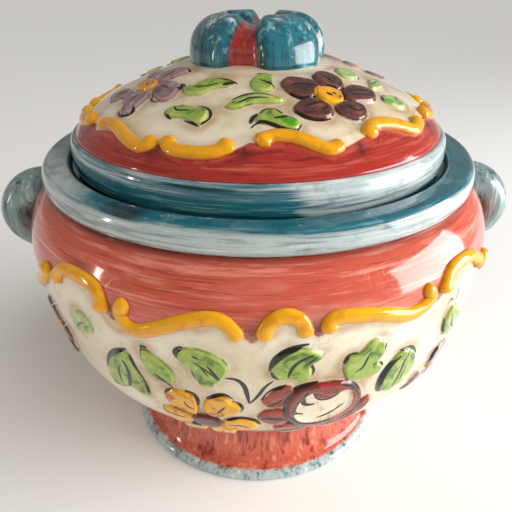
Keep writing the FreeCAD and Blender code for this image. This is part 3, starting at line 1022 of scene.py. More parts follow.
@dataclass
class Pot:
    """The bowl, its foot, its collar and its two lug handles."""

    profile: Points = ((0, 28), (25, 29), (44, 32), (60, 38), (77, 47), (91.5, 57.5), (99.5, 69), (104, 82),
                       (107.2, 97), (110.0, 114), (110.3, 126), (107.5, 136), (102.8, 143), (98.5, 147))
    inside: Points = ((92.0, 147), (96.5, 140), (101.5, 131), (103.8, 124), (103.4, 114), (100.6, 97),
        (97.6, 83), (93.4, 72), (87.0, 62.5), (73.5, 52.8), (57, 43.8), (43, 38.4), (24.5, 35.5),
        (0, 34.5))
    handle_centre: tuple[float, float] = (108.5, 124.0)

    def __post_init__(self) -> None:
        """Makes the wall that the relief is applied to."""
        self.wall = Wall(self.profile, Station.HEIGHT)

    def build_bowl(self, edge: BandEdge, gaps: Sequence[float], motifs: Sequence[Motif],
                   glaze: bpy.types.Material) -> None:
        """Makes the bowl's wall.

        Args:
            edge: The edge of its red band.
            gaps: The azimuths between the scrolls, where the red pools.
            motifs: The painted relief that the glaze gathers round.
            glaze: Its material.
        """
        outer, inner = smooth(self.profile, 1.5), smooth(self.inside, 5.0)
        shape = lathe(np.vstack([outer, inner]), BOWL_TURNS)
        azimuth, radius, height = (shape.fields[key] for key in ("azimuth", "radius", "height"))
        order = np.argsort(self.wall.line[:, 1])
        run = np.interp(height, self.wall.line[order, 1], self.wall.length[order])
        outside = np.zeros(len(height), bool)
        outside[:(len(outer) - 1) * BOWL_TURNS] = True
        turn = wrapped(azimuth)
        band = np.where(outside, edge(turn, run), FAR_OUTSIDE)
        tone = pools(turn, band, gaps, 109.0) * outside
        rim = np.exp(-((height - 146.5) / 1.3) ** 2) * outside
        cover = np.full(len(band), FAR_OUTSIDE)
        cover[outside] = nearness(self.wall, motifs, turn[outside], run[outside])
        shape.fields = {"band": band, "cover": cover, "ink": np.full(len(band), NO_INK),
                        "tone": np.maximum(tone, 0.6 * rim)}
        piece_of(shape, "bowl_wall", glaze, "pot", ["bowl_shell"])

    def build_foot(self, glaze: bpy.types.Material) -> None:
        """Makes the spreading foot ring."""
        flare = smooth([(61.0, 0.0), (65.5, 0.0), (70.2, 0.15), (71.8, 1.1), (71.7, 2.6), (69.8, 4.5),
                (67.2, 6.0), (65.4, 8.4), (63.4, 12.5), (61.8, 18.5), (61.2, 26.0), (61.4, 37.6)], 0.8)
        hidden = np.array([(57.0, 36.4), (53.0, 34.8), (53.6, 32.6), (57.0, 17.0), (60.2, 1.5)])
        shape = lathe(np.vstack([flare, hidden]), 360)
        radius, height = shape.fields["radius"], shape.fields["height"]
        outside = radius > 61.3 - 0.02 * height
        lip = 1 - np.clip((height - 3.4) / 3.2, 0, 1)
        seam = 0.5 * np.clip((height - 33.5) / 2.5, 0, 1)
        tone = 0.35 * np.exp(-((height - 7.0) / 1.2) ** 2) + 0.85 * np.clip((height - 17) / 9, 0, 1)
        shape.fields = {"blend": np.where(outside, np.maximum(lip, seam), 1.0), "tone": tone * outside,
                        "smear": np.where(height < 4, 0.12, 0.06)}
        piece_of(shape, "foot", glaze, "pot", ["foot_ring"])

    def build_collar(self, glaze: bpy.types.Material) -> None:
        """Makes the thick rounded collar with its stepped gallery for the lid."""
        ring = smooth([(81.0, 147.0), (90.0, 147.0), (98.2, 147.0), (100.0, 148.2), (101.0, 150.6),
                (101.0, 153.4), (100.1, 156.0), (98.3, 157.5), (96.0, 157.7), (92.0, 157.6), (89.7, 157.1),
                (88.85, 155.8), (88.8, 154.1), (87.8, 153.1), (85.0, 153.0), (82.3, 152.8), (81.2, 151.8),
                (81.0, 150.0)], 0.55, closed=True)
        shape = lathe(np.clip(ring, (81.0, 147.0), (101.0, 157.7)), 400)
        radius, height, azimuth = (shape.fields[key] for key in ("radius", "height", "azimuth"))
        ledge = np.clip((height - 154.8) / 2.2, 0, 1) * (radius > 89)
        inside = (radius < 89.4) & (height < 157.0)
        sway = 0.09 * np.sin(np.radians(azimuth * 3 + 40)) + 0.06 * np.sin(np.radians(azimuth * 7))
        lean = 0.5 + 0.5 * np.sin(np.radians(azimuth))
        blend = 0.16 + sway + (0.3 + 0.36 * lean) * ledge
        # Inside the gallery the teal is darkened to its deep colour at full tone: painted shade in the recess
        # under the lid.
        shape.fields = {"blend": np.where(inside, 0.9, blend),
                        "tone": np.where(inside, 0.9, 0.75 * np.exp(-((height - 147.6) / 0.9) ** 2)),
                        "smear": np.where(inside, 0.0, 0.25)}
        piece_of(shape, "collar", glaze, "pot", ["rim_collar"])

    def build_handles(self, glaze: bpy.types.Material) -> None:
        """Makes both lugs: a thick roll of clay bent round a thinner web, with a pinched tail below."""
        reach = smooth([(0.0, 5.5), (3.0, 5.6), (5.2, 6.9), (7.4, 9.6), (10.0, 11.8), (13.0, 12.5),
                (16.2, 11.6), (19.0, 8.9), (20.9, 4.8), (21.5, 0.0)], 0.7)
        reach[-1] = (21.5, 0.0)
        half = reach[:-1]
        loop = np.vstack([half * (1, -1), reach[-1:], half[::-1]])
        wheel = lathe(loop, 120)
        points = np.column_stack([wheel.points[:, 0], wheel.points[:, 2], wheel.points[:, 1]])
        below = np.clip(-points[:, 2] / 21.5, 0, 1)
        points[:, 1] *= 1 - 0.35 * below ** 2
        web = np.exp(-((np.hypot(points[:, 0], points[:, 2]) - 2.0) / 5.0) ** 2)
        points += (self.handle_centre[0], 0, self.handle_centre[1])
        radius = np.hypot(points[:, 0], points[:, 1])
        order = np.argsort(self.wall.line[:, 1])
        skin = np.interp(points[:, 2], self.wall.line[order, 1], self.wall.line[order, 0]) - 3.0
        push = np.maximum(skin / np.maximum(radius, 1), 1.0)
        points[:, :2] *= push[:, None]
        # Tone darkens the lug next to the body and in the hollow of its web: painted shade.
        near = np.exp(-((np.maximum(radius, skin) - skin - 2.0) / 3.5) ** 2)
        fields = {"blend": np.full(len(points), 0.18), "tone": np.clip(0.9 * near + 0.7 * web, 0, 1),
                  "smear": np.clip((points[:, 0] - 118) / 10, 0, 1) * 0.55}
        right = Shape(points, wheel.faces, fields).outward()
        piece_of(right, "handle_right_lug", glaze, "pot", ["handle_right"])
        piece_of(right.turned_round(), "handle_left_lug", glaze, "pot", ["handle_left"])


@dataclass
class Lid:
    """The lid's dome, the bead it rests on, the ring that keeps it central and its four-lobed knob."""

    profile: Points = ((84.5, 168), (81.9, 171.4), (76.9, 175.6), (70, 180.6), (58, 186), (43, 192),
        (34, 195), (20, 197.8), (0, 199))
    inside: Points = ((0, 193), (19.4, 191.8), (32.3, 189.2), (40.8, 186.4), (55.6, 180.5), (67, 175.4),
                      (73.6, 171.4), (77.5, 168.0))
    groove_azimuth: float = -15.5
    groove_depth: float = 5.6

    def __post_init__(self) -> None:
        """Makes the wall that the relief is applied to."""
        self.wall = Wall(self.profile, Station.RADIUS)

    def build_dome(self, edge: BandEdge, gaps: Sequence[float], motifs: Sequence[Motif],
                   glaze: bpy.types.Material) -> None:
        """Makes the dome. The arguments are those of Pot.build_bowl()."""
        outer, inner = smooth(self.profile, 1.3), smooth(self.inside, 4.0)
        shape = lathe(np.vstack([inner, outer]), DOME_TURNS)
        azimuth, radius = shape.fields["azimuth"], shape.fields["radius"]
        outside = np.zeros(len(radius), bool)
        outside[(len(inner) - 1) * DOME_TURNS:-2] = True
        outside[-1] = True
        run = np.interp(radius, self.wall.line[::-1, 0], self.wall.length[::-1])
        turn = wrapped(azimuth)
        band = np.where(outside, edge(turn, run), FAR_OUTSIDE)
        tone = pools(turn, band, gaps, 77.0) * outside
        # A darker ring on the dome just outside the knob's foot.
        tone = np.maximum(tone, 0.55 * np.exp(-((radius - 35.0) / 1.6) ** 2) * outside)
        cover = np.full(len(band), FAR_OUTSIDE)
        cover[outside] = nearness(self.wall, motifs, turn[outside], run[outside])
        shape.fields = {"band": band, "cover": cover, "ink": np.full(len(band), NO_INK), "tone": tone}
        piece_of(shape, "dome", glaze, "lid", ["lid_dome"])

    def build_flange(self, glaze: bpy.types.Material) -> None:
        """Makes the bead under the dome and the locating ring below it."""
        bead = smooth([(72.5, 153.2), (79.0, 153.15), (83.2, 153.2), (85.6, 154.6), (86.7, 157.6),
                (87.0, 161.0), (86.9, 164.5), (86.2, 167.0), (84.9, 168.0), (81.5, 168.0), (77.5, 168.0),
                (75.0, 164.6), (72.6, 161.0), (72.5, 157.0)], 0.6, closed=True)
        shape = lathe(np.clip(bead, (72.5, 153.15), (87.0, 168.05)), 400)
        radius, height, azimuth = (shape.fields[key] for key in ("radius", "height", "azimuth"))
        turn = wrapped(azimuth)
        pale = np.clip((turn - 4) / 9, 0, 1) * np.clip((175 - turn) / 20, 0, 1)
        upper = np.clip((height - 161.5) / 5.0, 0, 1)
        blend = 0.2 + 0.68 * pale + 0.3 * upper * (1 - pale)
        # Darker below 157 mm: painted shade on the bead's underside where it sinks into the gallery.
        shape.fields = {"blend": blend, "tone": 0.9 * np.clip((157.0 - height) / 3.0, 0, 1),
                        "smear": 0.25 * upper + 0.2 * pale}
        piece_of(shape, "flange", glaze, "lid", ["lid_flange"])
        ring = smooth([(72.5, 153.15), (72.5, 146.0), (73.3, 143.4), (75.5, 143.15), (77.7, 143.4),
                (78.5, 146.0), (78.5, 153.15), (75.5, 153.15)], 0.8, closed=True)
        shape = lathe(np.clip(ring, (72.5, 143.15), (78.5, 153.15)), 300)
        flat = np.ones(len(shape.points))
        shape.fields = {"blend": flat * 0.7, "tone": flat * 0.1, "smear": flat * 0.2}
        piece_of(shape, "locating_ring", glaze, "lid", ["lid_locating_ring"])

    def build_knob(self, glaze: bpy.types.Material) -> None:
        """Makes the knob: a low round boss pressed in four places, so that its lobes swell between them."""
        side = smooth([(29.0, 190.0), (30.7, 195.0), (31.0, 200.0), (29.8, 205.8), (26.6, 210.8),
                (21.4, 214.4), (15.5, 215.5), (9.5, 214.4), (4.0, 213.0), (0.0, 212.6)], 0.6)
        side[-1] = (0.0, 212.6)
        under = np.array([(0.0, 190.0), (16.0, 190.0), (26.0, 190.0)])
        shape = lathe(np.vstack([under, side]), 360)
        azimuth, radius, height = (shape.fields[key] for key in ("azimuth", "radius", "height"))
        quarter = (azimuth - self.groove_azimuth + 45) % 90 - 45
        sideways = np.abs(radius * np.sin(np.radians(quarter)))
        width = np.interp(height, (192, 203, 211, 215.5), (9.2, 8.0, 6.0, 4.8))
        press = np.exp(-(sideways / width) ** 4) * np.interp(height, (189, 193), (0.0, 1.0))
        depth = self.groove_depth * np.interp(radius, (0, 6, 12, 34), (0.15, 0.5, 0.85, 1.0))
        slope = np.clip((height - 202) / 11, 0, 1)
        inward, down = depth * press * (1 - 0.55 * slope), depth * press * slope
        keep = np.maximum(radius - inward, 0) / np.maximum(radius, 1e-6)
        shape.points[:, 0] *= keep
        shape.points[:, 1] *= keep
        shape.points[:, 2] -= down
        red = 1 - np.clip((sideways / width - 0.72) / 0.2, 0, 1)
        # Tone darkens the lobes along the grooves' edges and at the knob's foot.
        edge = np.exp(-((sideways / width - 0.9) / 0.16) ** 2)
        foot = np.clip((196.5 - height) / 3.0, 0, 1)
        shape.fields = {"blend": red * (radius > 8), "tone": np.clip(0.8 * edge + 0.7 * foot, 0, 1),
                        "smear": 0.62 * (1 - red) * np.clip((height - 197) / 5, 0, 1)}
        piece_of(shape.outward(), "knob_lobes", glaze, "lid", ["knob"])


# ---------------------------------------------------------------- the pattern
BOWL_EDGE = ((-90, 94), (-80, 96), (-70, 103.5), (-62, 114.5), (-55, 122), (-52, 126), (-50, 121.5),
    (-48, 124), (-46.4, 130.4), (-40.5, 132.6), (-35, 130), (-33, 122.6), (-31, 119.8), (-28.5, 121.4),
    (-22.5, 122), (-15, 128), (-9, 129), (-5.8, 123.6), (-3.6, 119.8), (-1.6, 123), (-0.9, 127),
    (2.2, 130.6), (5.2, 128.5), (6.4, 124), (8.3, 121.2), (10.2, 123.4), (12, 127.5), (15, 128.2),
    (23, 125), (29.5, 123), (33, 126), (35, 121.5), (37.3, 124), (38.6, 130.4), (43.6, 132.8), (49, 131),
    (53.6, 125), (55.8, 121), (58, 124), (59.8, 120.5), (64, 114), (70, 105.5), (76.5, 98.8), (84, 95))
BOWL_GAPS = (-50.0, -31.0, -3.6, 8.3, 35.2, 55.8)
LID_EDGE = ((-90, 80.4), (-87, 80.4), (-81, 81), (-75, 80.6), (-69.5, 79), (-66.5, 76.6), (-63.5, 76),
    (-60, 78), (-54, 75.8), (-46.5, 76.4), (-39.9, 78.4), (-34.4, 77.8), (-31, 75.6), (-27.7, 77.2),
    (-22, 78.6), (-16.6, 78.2), (-12, 77.0), (-8, 74.6), (-5, 72.8), (-2, 72.6), (0.5, 72.2), (6.5, 72.2),
    (12, 74.8), (17, 77.6), (21.4, 76.2), (26, 74.8), (30, 73.6), (34, 72.4), (40, 72.4), (46.4, 75.2),
    (52.5, 78.2), (58.4, 76.4), (63, 75.4), (66, 75.4), (70, 78.2), (75, 80), (81, 81), (86, 80.6))
LID_GAPS = (-65.0, -31.5, -6.0, 26.0, 63.0)

BOWL_SCROLLS = {
    "middle": Scroll(((-1.6, 121.5), (-0.9, 127.0), (2.2, 130.6), (5.2, 128.0), (6.0, 122.0)), 0.12, 0.12),
    "left": Scroll(((-26.9, 128.5), (-29.0, 126.5), (-27.6, 120.6), (-22.5, 121.2), (-15.0, 127.6),
            (-9.0, 128.6), (-5.6, 121.5)), 0.3, 0.12),
    "right": Scroll(((10.4, 122.6), (10.4, 127.2), (15.0, 128.0), (23.0, 124.8), (29.5, 122.6),
            (33.0, 126.6), (31.2, 130.6)), 0.2, 0.1),
    "arch_left": Scroll(((-33.6, 122.0), (-34.3, 129.5), (-40.5, 132.6), (-46.4, 130.4), (-48.2, 125.0))),
    "arch_right": Scroll(((37.3, 124.0), (38.4, 130.2), (43.6, 132.8), (49.6, 130.8), (53.6, 125.0))),
    "side_left": Scroll(((-52.0, 129.0), (-54.5, 121.5), (-62.0, 113.5), (-70.0, 102.5), (-80.0, 95.0)),
        0.3),
    "side_right": Scroll(((58.0, 126.5), (59.6, 119.8), (64.0, 113.5), (70.0, 105.0), (76.5, 98.0),
            (84.0, 94.0)))}
LID_SCROLLS = {
    "left": Scroll(((-60.0, 75.6), (-54.0, 73.4), (-46.5, 75.0), (-39.9, 77.2), (-34.4, 77.0),
            (-33.6, 73.4)), 0.0, 0.2),
    "middle": Scroll(((-29.0, 72.6), (-27.7, 75.8), (-22.1, 77.2), (-16.6, 76.9), (-12.3, 75.3),
            (-9.8, 72.2)), 0.2, 0.3),
    "right": Scroll(((-2.6, 73.6), (0.5, 70.8), (6.5, 70.8), (12.0, 73.4), (17.0, 76.2), (21.4, 74.2)),
        0.3, 0.1),
    "far_right": Scroll(((31.0, 74.4), (34.0, 70.8), (40.0, 70.8), (46.4, 73.6), (52.5, 76.8),
            (58.4, 74.0))),
    "side_near": Scroll(((-66.5, 74.6), (-69.5, 77.0), (-75.0, 78.6), (-81.0, 79.2), (-87.0, 78.0))),
    "side_far": Scroll(((-93.5, 77.6), (-99.0, 78.6), (-105.0, 77.6), (-110.0, 75.8), (-113.0, 73.0)))}

BOWL_LEAVES = (
    Motif((-33.5, 93.0), (
            Petal(((-6.5, 0), (-1.5, 8), (3.5, 12.5), (8, 13), (9, 8.5), (9.5, 2.5), (11, -4), (11.5, -11),
                    (7.5, -12), (4.5, -10), (-1, -12.5), (-6, -12.5), (-8.5, -7)), GREEN),),
        (
            Stroke(((7, 14.2), (1, 10.5), (-5.5, 2.5), (-9, -5)), 2.2),
            Stroke(((-8.5, -6), (-6.5, -9.5), (-1, -12.8)), 0.8),
            Stroke(((2.5, 4.5), (0, -1.5), (0, -7)), 0.9),
            Stroke(((5, 8), (6, 3), (5, -3.5), (3, -9)), 1.8),
            Stroke(((8.5, 12), (9.8, 3), (11.7, -4.5), (11.8, -11)), 0.9),
            Stroke(((5, -10), (7.5, -12.8), (11, -12)), 0.8))),
    Motif((-22.5, 102.5), (
            Petal(((-5.8, 8), (-3.5, 8.5), (-0.5, 6.5), (3, 3.5), (5.5, 0), (6.5, -4.5), (5, -8),
                    (1.5, -8.5), (-3, -6.5), (-6, -3.5), (-6.8, 1)), GREEN),),
        (
            Stroke(((-5.8, 9.2), (-6.4, 4.5), (-6.2, -1), (-4.5, -4.5), (-2.2, -7)), 1.5),
            Stroke(((-1.2, -3.2), (1.5, -6), (4.6, -8.2)), 1.0), Stroke(((1.6, -9.4), (3.5, -11)), 0.9),
            Stroke(((-6.4, 9), (-3.6, 9.2)), 1.3))),
    Motif((-13.0, 106.5), (
            Petal(((-9.5, 7), (-7, 9), (-2, 10), (2, 9.2), (6.5, 7), (9.6, 2.5), (8.5, -2.5), (5, -7.5),
                    (1, -10), (-2.5, -9), (-4, -4.5), (-5.2, -0.5), (-8.5, 2), (-10, 4.5)), GREEN),),
        (
            Stroke(((-7.2, 9.2), (-9.6, 6.8), (-9.2, 3)), 2.2),
            Stroke(((-9, 3), (-7, 0.7), (-4.8, -0.8), (-4, -4), (-2.5, -8), (-0.3, -10.2), (2.8, -10)),
                1.1), Stroke(((2, 3), (3.7, 0), (6, -4.2)), 0.9), Stroke(((-3, 7), (-1, 6)), 0.7),
            Stroke(((-1, 3), (2, -3)), 0.5), Stroke(((-3, 4), (1.5, 0.4), (5.4, -4.4)), 0.6))),
    Motif((4.0, 109.0), (
            Petal(((-7.5, 1), (-6.5, 5), (-3.5, 8), (0.5, 9), (5, 8.2), (8.5, 6.5), (11, 4.5), (9.6, 1.5),
                    (6.8, -0.5), (7.4, -4.5), (6, -8.5), (3, -9), (-1, -7), (-4.5, -7), (-7, -3.5)), GREEN),),
        (
            Stroke(((5, 9.8), (0, 8.8), (-4, 6.6), (-7.2, 2.5), (-8.2, -2.4)), 2.0),
            Stroke(((-7.7, -3), (-6, -6.4), (-1.6, -6.6)), 1.2),
            Stroke(((6.7, 5.6), (3.5, 4.2), (0, 1), (-1.7, -4.8)), 1.3),
            Stroke(((11, 4.6), (9.7, 1.8), (6.8, 0.2), (7.8, -3.5), (6.8, -6.8), (4.8, -9.6)), 1.0),
            Stroke(((8, 4.6), (4, 0.6)), 0.6))),
    Motif((18.5, 105.5), (
            Petal(((-7, -6), (-8.5, -0.5), (-7.5, 3.5), (-4.5, 4.8), (-2.5, 5.5), (-0.5, 8), (2.5, 10.5),
                    (5.8, 9.8), (8.2, 5), (8.2, 0.6), (6.6, -2), (9.4, -5.2), (9, -8.6), (5, -10.8),
                    (-0.5, -10.4), (-5, -9.2)), GREEN),), (
            Stroke(((-3.6, 5.2), (-6.6, 4.8), (-8.4, 1)), 1.1),
            Stroke(((1.2, 5), (0.2, 1.5), (-1, -2.5), (-3.2, -4.2)), 0.9),
            Stroke(((8.8, 6), (8.7, 1.5), (7, -1.9), (3.6, -2.3)), 0.8),
            Stroke(((7.6, -3.6), (10, -6.6), (7.5, -10), (3.5, -11.2), (-0.6, -10.4)), 1.0))),
    Motif((30.0, 91.5), (
            Petal(((-9.5, -6), (-10.4, -0.5), (-9, 4.5), (-7, 9.5), (-3.6, 12.5), (1.2, 11.6), (6.5, 5.5),
                    (8, 0), (6.5, -5), (4, -9.6), (0, -12), (-5, -12)), GREEN),),
        (
            Stroke(((-4.5, 10.4), (-7.7, 6.5), (-9.7, 1.5), (-9.9, -5), (-7.7, -10.6), (-5, -12)), 2.0),
            Stroke(((-4.5, 12.6), (1, 12), (7.4, 5)), 1.2),
            Stroke(((0.2, 11), (-1, 5.5), (-1, -1.5), (-2.6, -9)), 1.0),
            Stroke(((1.6, 2), (0.6, -7)), 0.6))),
    Motif((-42.0, 109.5), (
            Petal(((-5, 0.5), (-1, 6.5), (4.5, 7.5), (8, 4), (7, -1.5), (1, -4.5), (-4, -4.5)), PALE_GREEN),),
        (Stroke(((-2, -2), (1, 1.5), (4.6, 3.6)), 0.5),)),
    Motif((46.0, 104.0), (
            Petal(((-9, 8), (-5, 10.4), (-1, 7), (1.4, 1.6), (7, 0.4), (10, -4), (6, -9.4), (0, -10),
                    (-5, -6.4), (-8, -0.6)), GREEN),), (
            Stroke(((-10, 5), (-8, -1), (-5.4, -5)), 1.0), Stroke(((-6, 6.4), (-3, 0), (3, -6)), 0.9))),
    Motif((-4.0, 96.0), (), (
            Stroke(((-9, 5.8), (-5.5, 5.6), (-3, 3.2), (-1.5, -2), (-0.6, -8.8)), 1.7),
            Stroke(((-0.4, -9), (3, -3.5), (5.5, 1.5), (8.4, 5)), 1.2))),
    Motif((42.0, 117.0), (), (
            Stroke(((-4, -0.4), (-2, 1.4), (0.4, -0.6)), 0.9), Stroke(((3, 5), (3.6, 0), (2.6, -4)), 0.7))))

BOWL_FLOWERS = {
    "daisy": (
        "daisy_yellow",
        Motif((-14.5, 74.0), (
                Petal(((-18.5, 2), (-13.5, 4.5), (-8, 3.4), (-4, 0), (-5, -4.4), (-10.5, -8.5),
                        (-16, -4.6)), YELLOW),
                Petal(((-15.5, 12.5), (-12.5, 17), (-8, 18), (-4, 17), (-1.3, 13.5), (-1.5, 8), (-3, 3),
                        (-7, 4.4), (-13, 7.6)), YELLOW),
                Petal(((1, 12), (3, 16), (7, 18.6), (11, 17.4), (12.5, 14.6), (15.8, 12.6), (15.6, 9),
                        (11, 5.6), (5, 3.4), (1.4, 5)), YELLOW),
                Petal(((8, 1.2), (14.5, 3.2), (20, 1.8), (22, -2.4), (18, -6.6), (11.5, -6.8), (7, -3)),
                    YELLOW),
                Petal(((-8.6, -7), (-3.4, -4.6), (0, -6.4), (-0.4, -12), (-4, -16.4), (-9, -15.4),
                        (-11.4, -11)), YELLOW),
                Petal(((1.4, -6), (5.4, -4.6), (9.4, -7), (11.6, -12), (9, -16.4), (4, -16.6), (1, -12)),
                    YELLOW),
                Petal(((-5, 1.6), (-1, 4.2), (4.5, 3.8), (7.6, 0.4), (6.2, -3.8), (1, -4.8), (-3.6, -3)),
                    BROWN, 2.1, 1.2)), (
                Stroke(((-6, 17.8), (-3, 17), (-1.4, 14), (-1.4, 10)), 1.1),
                Stroke(((-6.5, 12.5), (-5.5, 9.5), (-3, 8.2)), 0.7),
                Stroke(((-15.6, 12), (-13.6, 16), (-11, 17.8)), 0.8),
                Stroke(((2.2, 15), (6, 18), (9.5, 18.8), (12.6, 16)), 1.0),
                Stroke(((6, 7.5), (9.5, 12.5)), 0.8),
                Stroke(((12.5, 15), (15.6, 12.6), (15.6, 9.2), (11.6, 5.6)), 0.9),
                Stroke(((-18, 3), (-13, 0), (-7.5, 0)), 0.7),
                Stroke(((-12, -6.4), (-5.5, -5.8), (0.5, -5.3)), 0.9),
                Stroke(((9, 1.6), (14.5, 3.4), (20.4, 1.6), (22.2, -2.6)), 0.9),
                Stroke(((10, -1.4), (14, -1.2), (17.5, -3)), 0.7), Stroke(((-5, -9), (-4.4, -14)), 0.7),
                Stroke(((5.6, -9), (6.4, -13.6)), 0.7),
                Stroke(((-11.4, -11), (-9, -15.6), (-4, -16.8), (-0.6, -12)), 0.8),
                Stroke(((1, -12), (4, -16.8), (9, -16.6), (11.8, -12)), 0.8)))),
    "rose": (
        "rose_red",
        Motif((12.0, 84.0), (
                Petal(((-25.5, 5.5), (-23.5, 9), (-21.5, 12.4), (-18.5, 14.4), (-14.5, 14), (-13, 11),
                        (-15, 3), (-19.6, 1.4), (-24, 2.5)), RUST),
                Petal(((-26.5, -5), (-23.5, -0.8), (-19.6, 0.2), (-15, -2), (-13.4, -9), (-17, -12.5),
                        (-21.4, -11), (-25, -8.6)), RUST),
                Petal(((-19, -14), (-13, -11), (-7, -13), (-4.4, -17), (-7.6, -21), (-13, -21.6),
                        (-18, -19)), RUST),
                Petal(((-3.4, -15), (3, -13), (10, -11), (15, -10), (16.4, -14.6), (10, -19.4), (2, -21)),
                    RUST),
                Petal(((12, -9), (15.6, -4), (20.4, -2.8), (21, -7.6), (17.6, -13.6), (13, -14.4)), RUST),
                Petal(((-17, 2.5), (-16.5, 7), (-14.5, 10.5), (-10, 14), (-4, 14.6), (2, 14.2),
                        (7.5, 12.4), (12.5, 7.4), (15.4, 1.4), (15.2, -4), (12.5, -9), (6.5, -13),
                        (-0.5, -15.4), (-8, -15), (-13.4, -10), (-16.4, -3.4)), BROWN, 2.0),
                Petal(((-14.6, 2), (-12.8, 8), (-8.6, 12), (-3, 12.8), (4, 12.2), (9.6, 7.6), (13, 1),
                        (12.6, -4), (9, -8.6), (3, -11.8), (-5, -12.8), (-11, -8.6), (-14, -3)), RUST, 0.0),
                Petal(((-12.6, -1.5), (-11.6, 4), (-9, 8.6), (-5, 10.6), (1, 7.6), (7, 8.6), (10.6, 2),
                        (10.4, -3), (7, -7.4), (1.5, -10), (-5.5, -10.8), (-10, -8)), WHITE, -0.75),
                Petal(((-6, 11.6), (-3.6, 14), (2, 13.6), (7.8, 11.6), (5, 8.2), (1, 4.6), (-2, 4.8),
                        (-5.2, 7.6)), CRIMSON, 0.9)), (
                Stroke(((-9, 11.4), (-10, 6.5), (-8.5, 2.6), (-5.2, 2.2)), 1.9),
                Stroke(((-11.6, 6), (-12.4, 2), (-12, -2.5), (-8.8, -4)), 1.3),
                Stroke(((-16, 4), (-15, -3.5), (-10.5, -11.2), (-4, -14), (2.5, -13.4), (8, -10.6),
                        (12.4, -6), (13.6, -1)), 1.9),
                Stroke(((-17.4, 5), (-15.2, 10.2), (-11, 13.6), (-5, 14.8)), 1.2),
                Stroke(((4.5, 12.4), (10, 9.4), (14, 3.4)), 1.5),
                Stroke(((-6.4, 11.4), (-5, 6.6), (-1.6, 4), (1.6, 4.6), (6, 9)), 0.9),
                Stroke(((-13.4, -4), (-9.4, -9.6), (-3, -11.6), (4, -10.4)), 1.0),
                Stroke(((-2.6, -8.6), (2, -6.6), (5, -4)), 1.1), Stroke(((3, -6), (7.6, -1.6)), 0.8),
                Stroke(((-24.5, 3), (-20, 5.6), (-17.6, 8)), 0.8),
                Stroke(((-25.6, 5.6), (-22, 12), (-17, 14.6)), 0.7),
                Stroke(((-25.8, -5.4), (-20, -5), (-15, -7)), 0.9),
                Stroke(((-26.4, -5.4), (-21, -11.2), (-16, -12.8)), 0.8),
                Stroke(((-18, -17), (-12, -17), (-7, -16)), 0.8),
                Stroke(((0, -17), (8, -15.6), (15, -12)), 0.8),
                Stroke(((14, -10), (18, -7), (20.6, -4)), 0.8)))),
    "violet": (
        "lilac",
        Motif((47.5, 71.5), (
                Petal(((-2, 2), (-6, 8), (-5, 14), (1, 16.6), (6, 13), (5, 6), (3, 2)), LILAC),
                Petal(((3, 2), (7, 8), (13, 9.6), (16.4, 5), (14, -1), (8, -3)), LILAC),
                Petal(((4, -2), (11, -4), (14, -9), (10, -14), (4, -12.6), (2, -6)), LILAC),
                Petal(((0, -4), (0.6, -11), (-4, -16), (-10, -13.6), (-10, -7), (-5, -3)), LILAC),
                Petal(((-4, -2), (-10, -4), (-15, -0.6), (-14, 5), (-8, 6), (-3, 2)), LILAC),
                Petal(((-4.6, 0), (-2.4, 3.6), (2, 3.6), (4.6, 0.4), (2.4, -3.4), (-2.6, -3.4)), AMBER,
                    2.0, 1.2)), (
                Stroke(((-5.6, 9), (-4.8, 14), (1, 17)), 0.8),
                Stroke(((8, 9), (13.4, 9.8), (16.6, 5)), 0.8), Stroke(((-0.4, 5), (0, 11)), 0.7),
                Stroke(((5, 1), (11, 3.4)), 0.7), Stroke(((-2, -5), (-5, -11)), 0.7),
                Stroke(((5, -4), (9, -9)), 0.7), Stroke(((-6, 0), (-11, 1.4)), 0.7)))),
    "pansy": (
        "plum",
        Motif((-60.0, 90.5), (
                Petal(((-2, 2), (-7, 7), (-5.6, 13), (0, 14.6), (5.6, 12), (5, 5), (2, 2)), PLUM),
                Petal(((3, 2), (8, 6.6), (13.6, 5), (14.4, -1), (9, -4), (4, -2)), PLUM),
                Petal(((2, -3), (9, -5), (11, -10.6), (6, -14.4), (0.6, -11), (0, -5)), PLUM),
                Petal(((-1, -4), (-1, -11), (-6.6, -14.2), (-12, -9.6), (-9.4, -4), (-4, -2)), PLUM),
                Petal(((-3, -1), (-9, -2.6), (-14.4, 1), (-12.6, 6.4), (-7, 6), (-3, 2)), PLUM),
                Petal(((-4, 0), (-2, 3.2), (2, 3.2), (4, 0.4), (2, -3), (-2.4, -3)), YELLOW, 2.0, 1.2)),
            (
                Stroke(((-6.6, 8), (-5, 13.4), (1, 14.8)), 0.9), Stroke(((0, 5), (-0.6, 11)), 0.8),
                Stroke(((5, 1), (11, 1)), 0.8), Stroke(((3, -5), (6.4, -11)), 0.8),
                Stroke(((-3, -5), (-6.6, -10.6)), 0.8), Stroke(((-5, 1), (-11, 2.4)), 0.8))))}

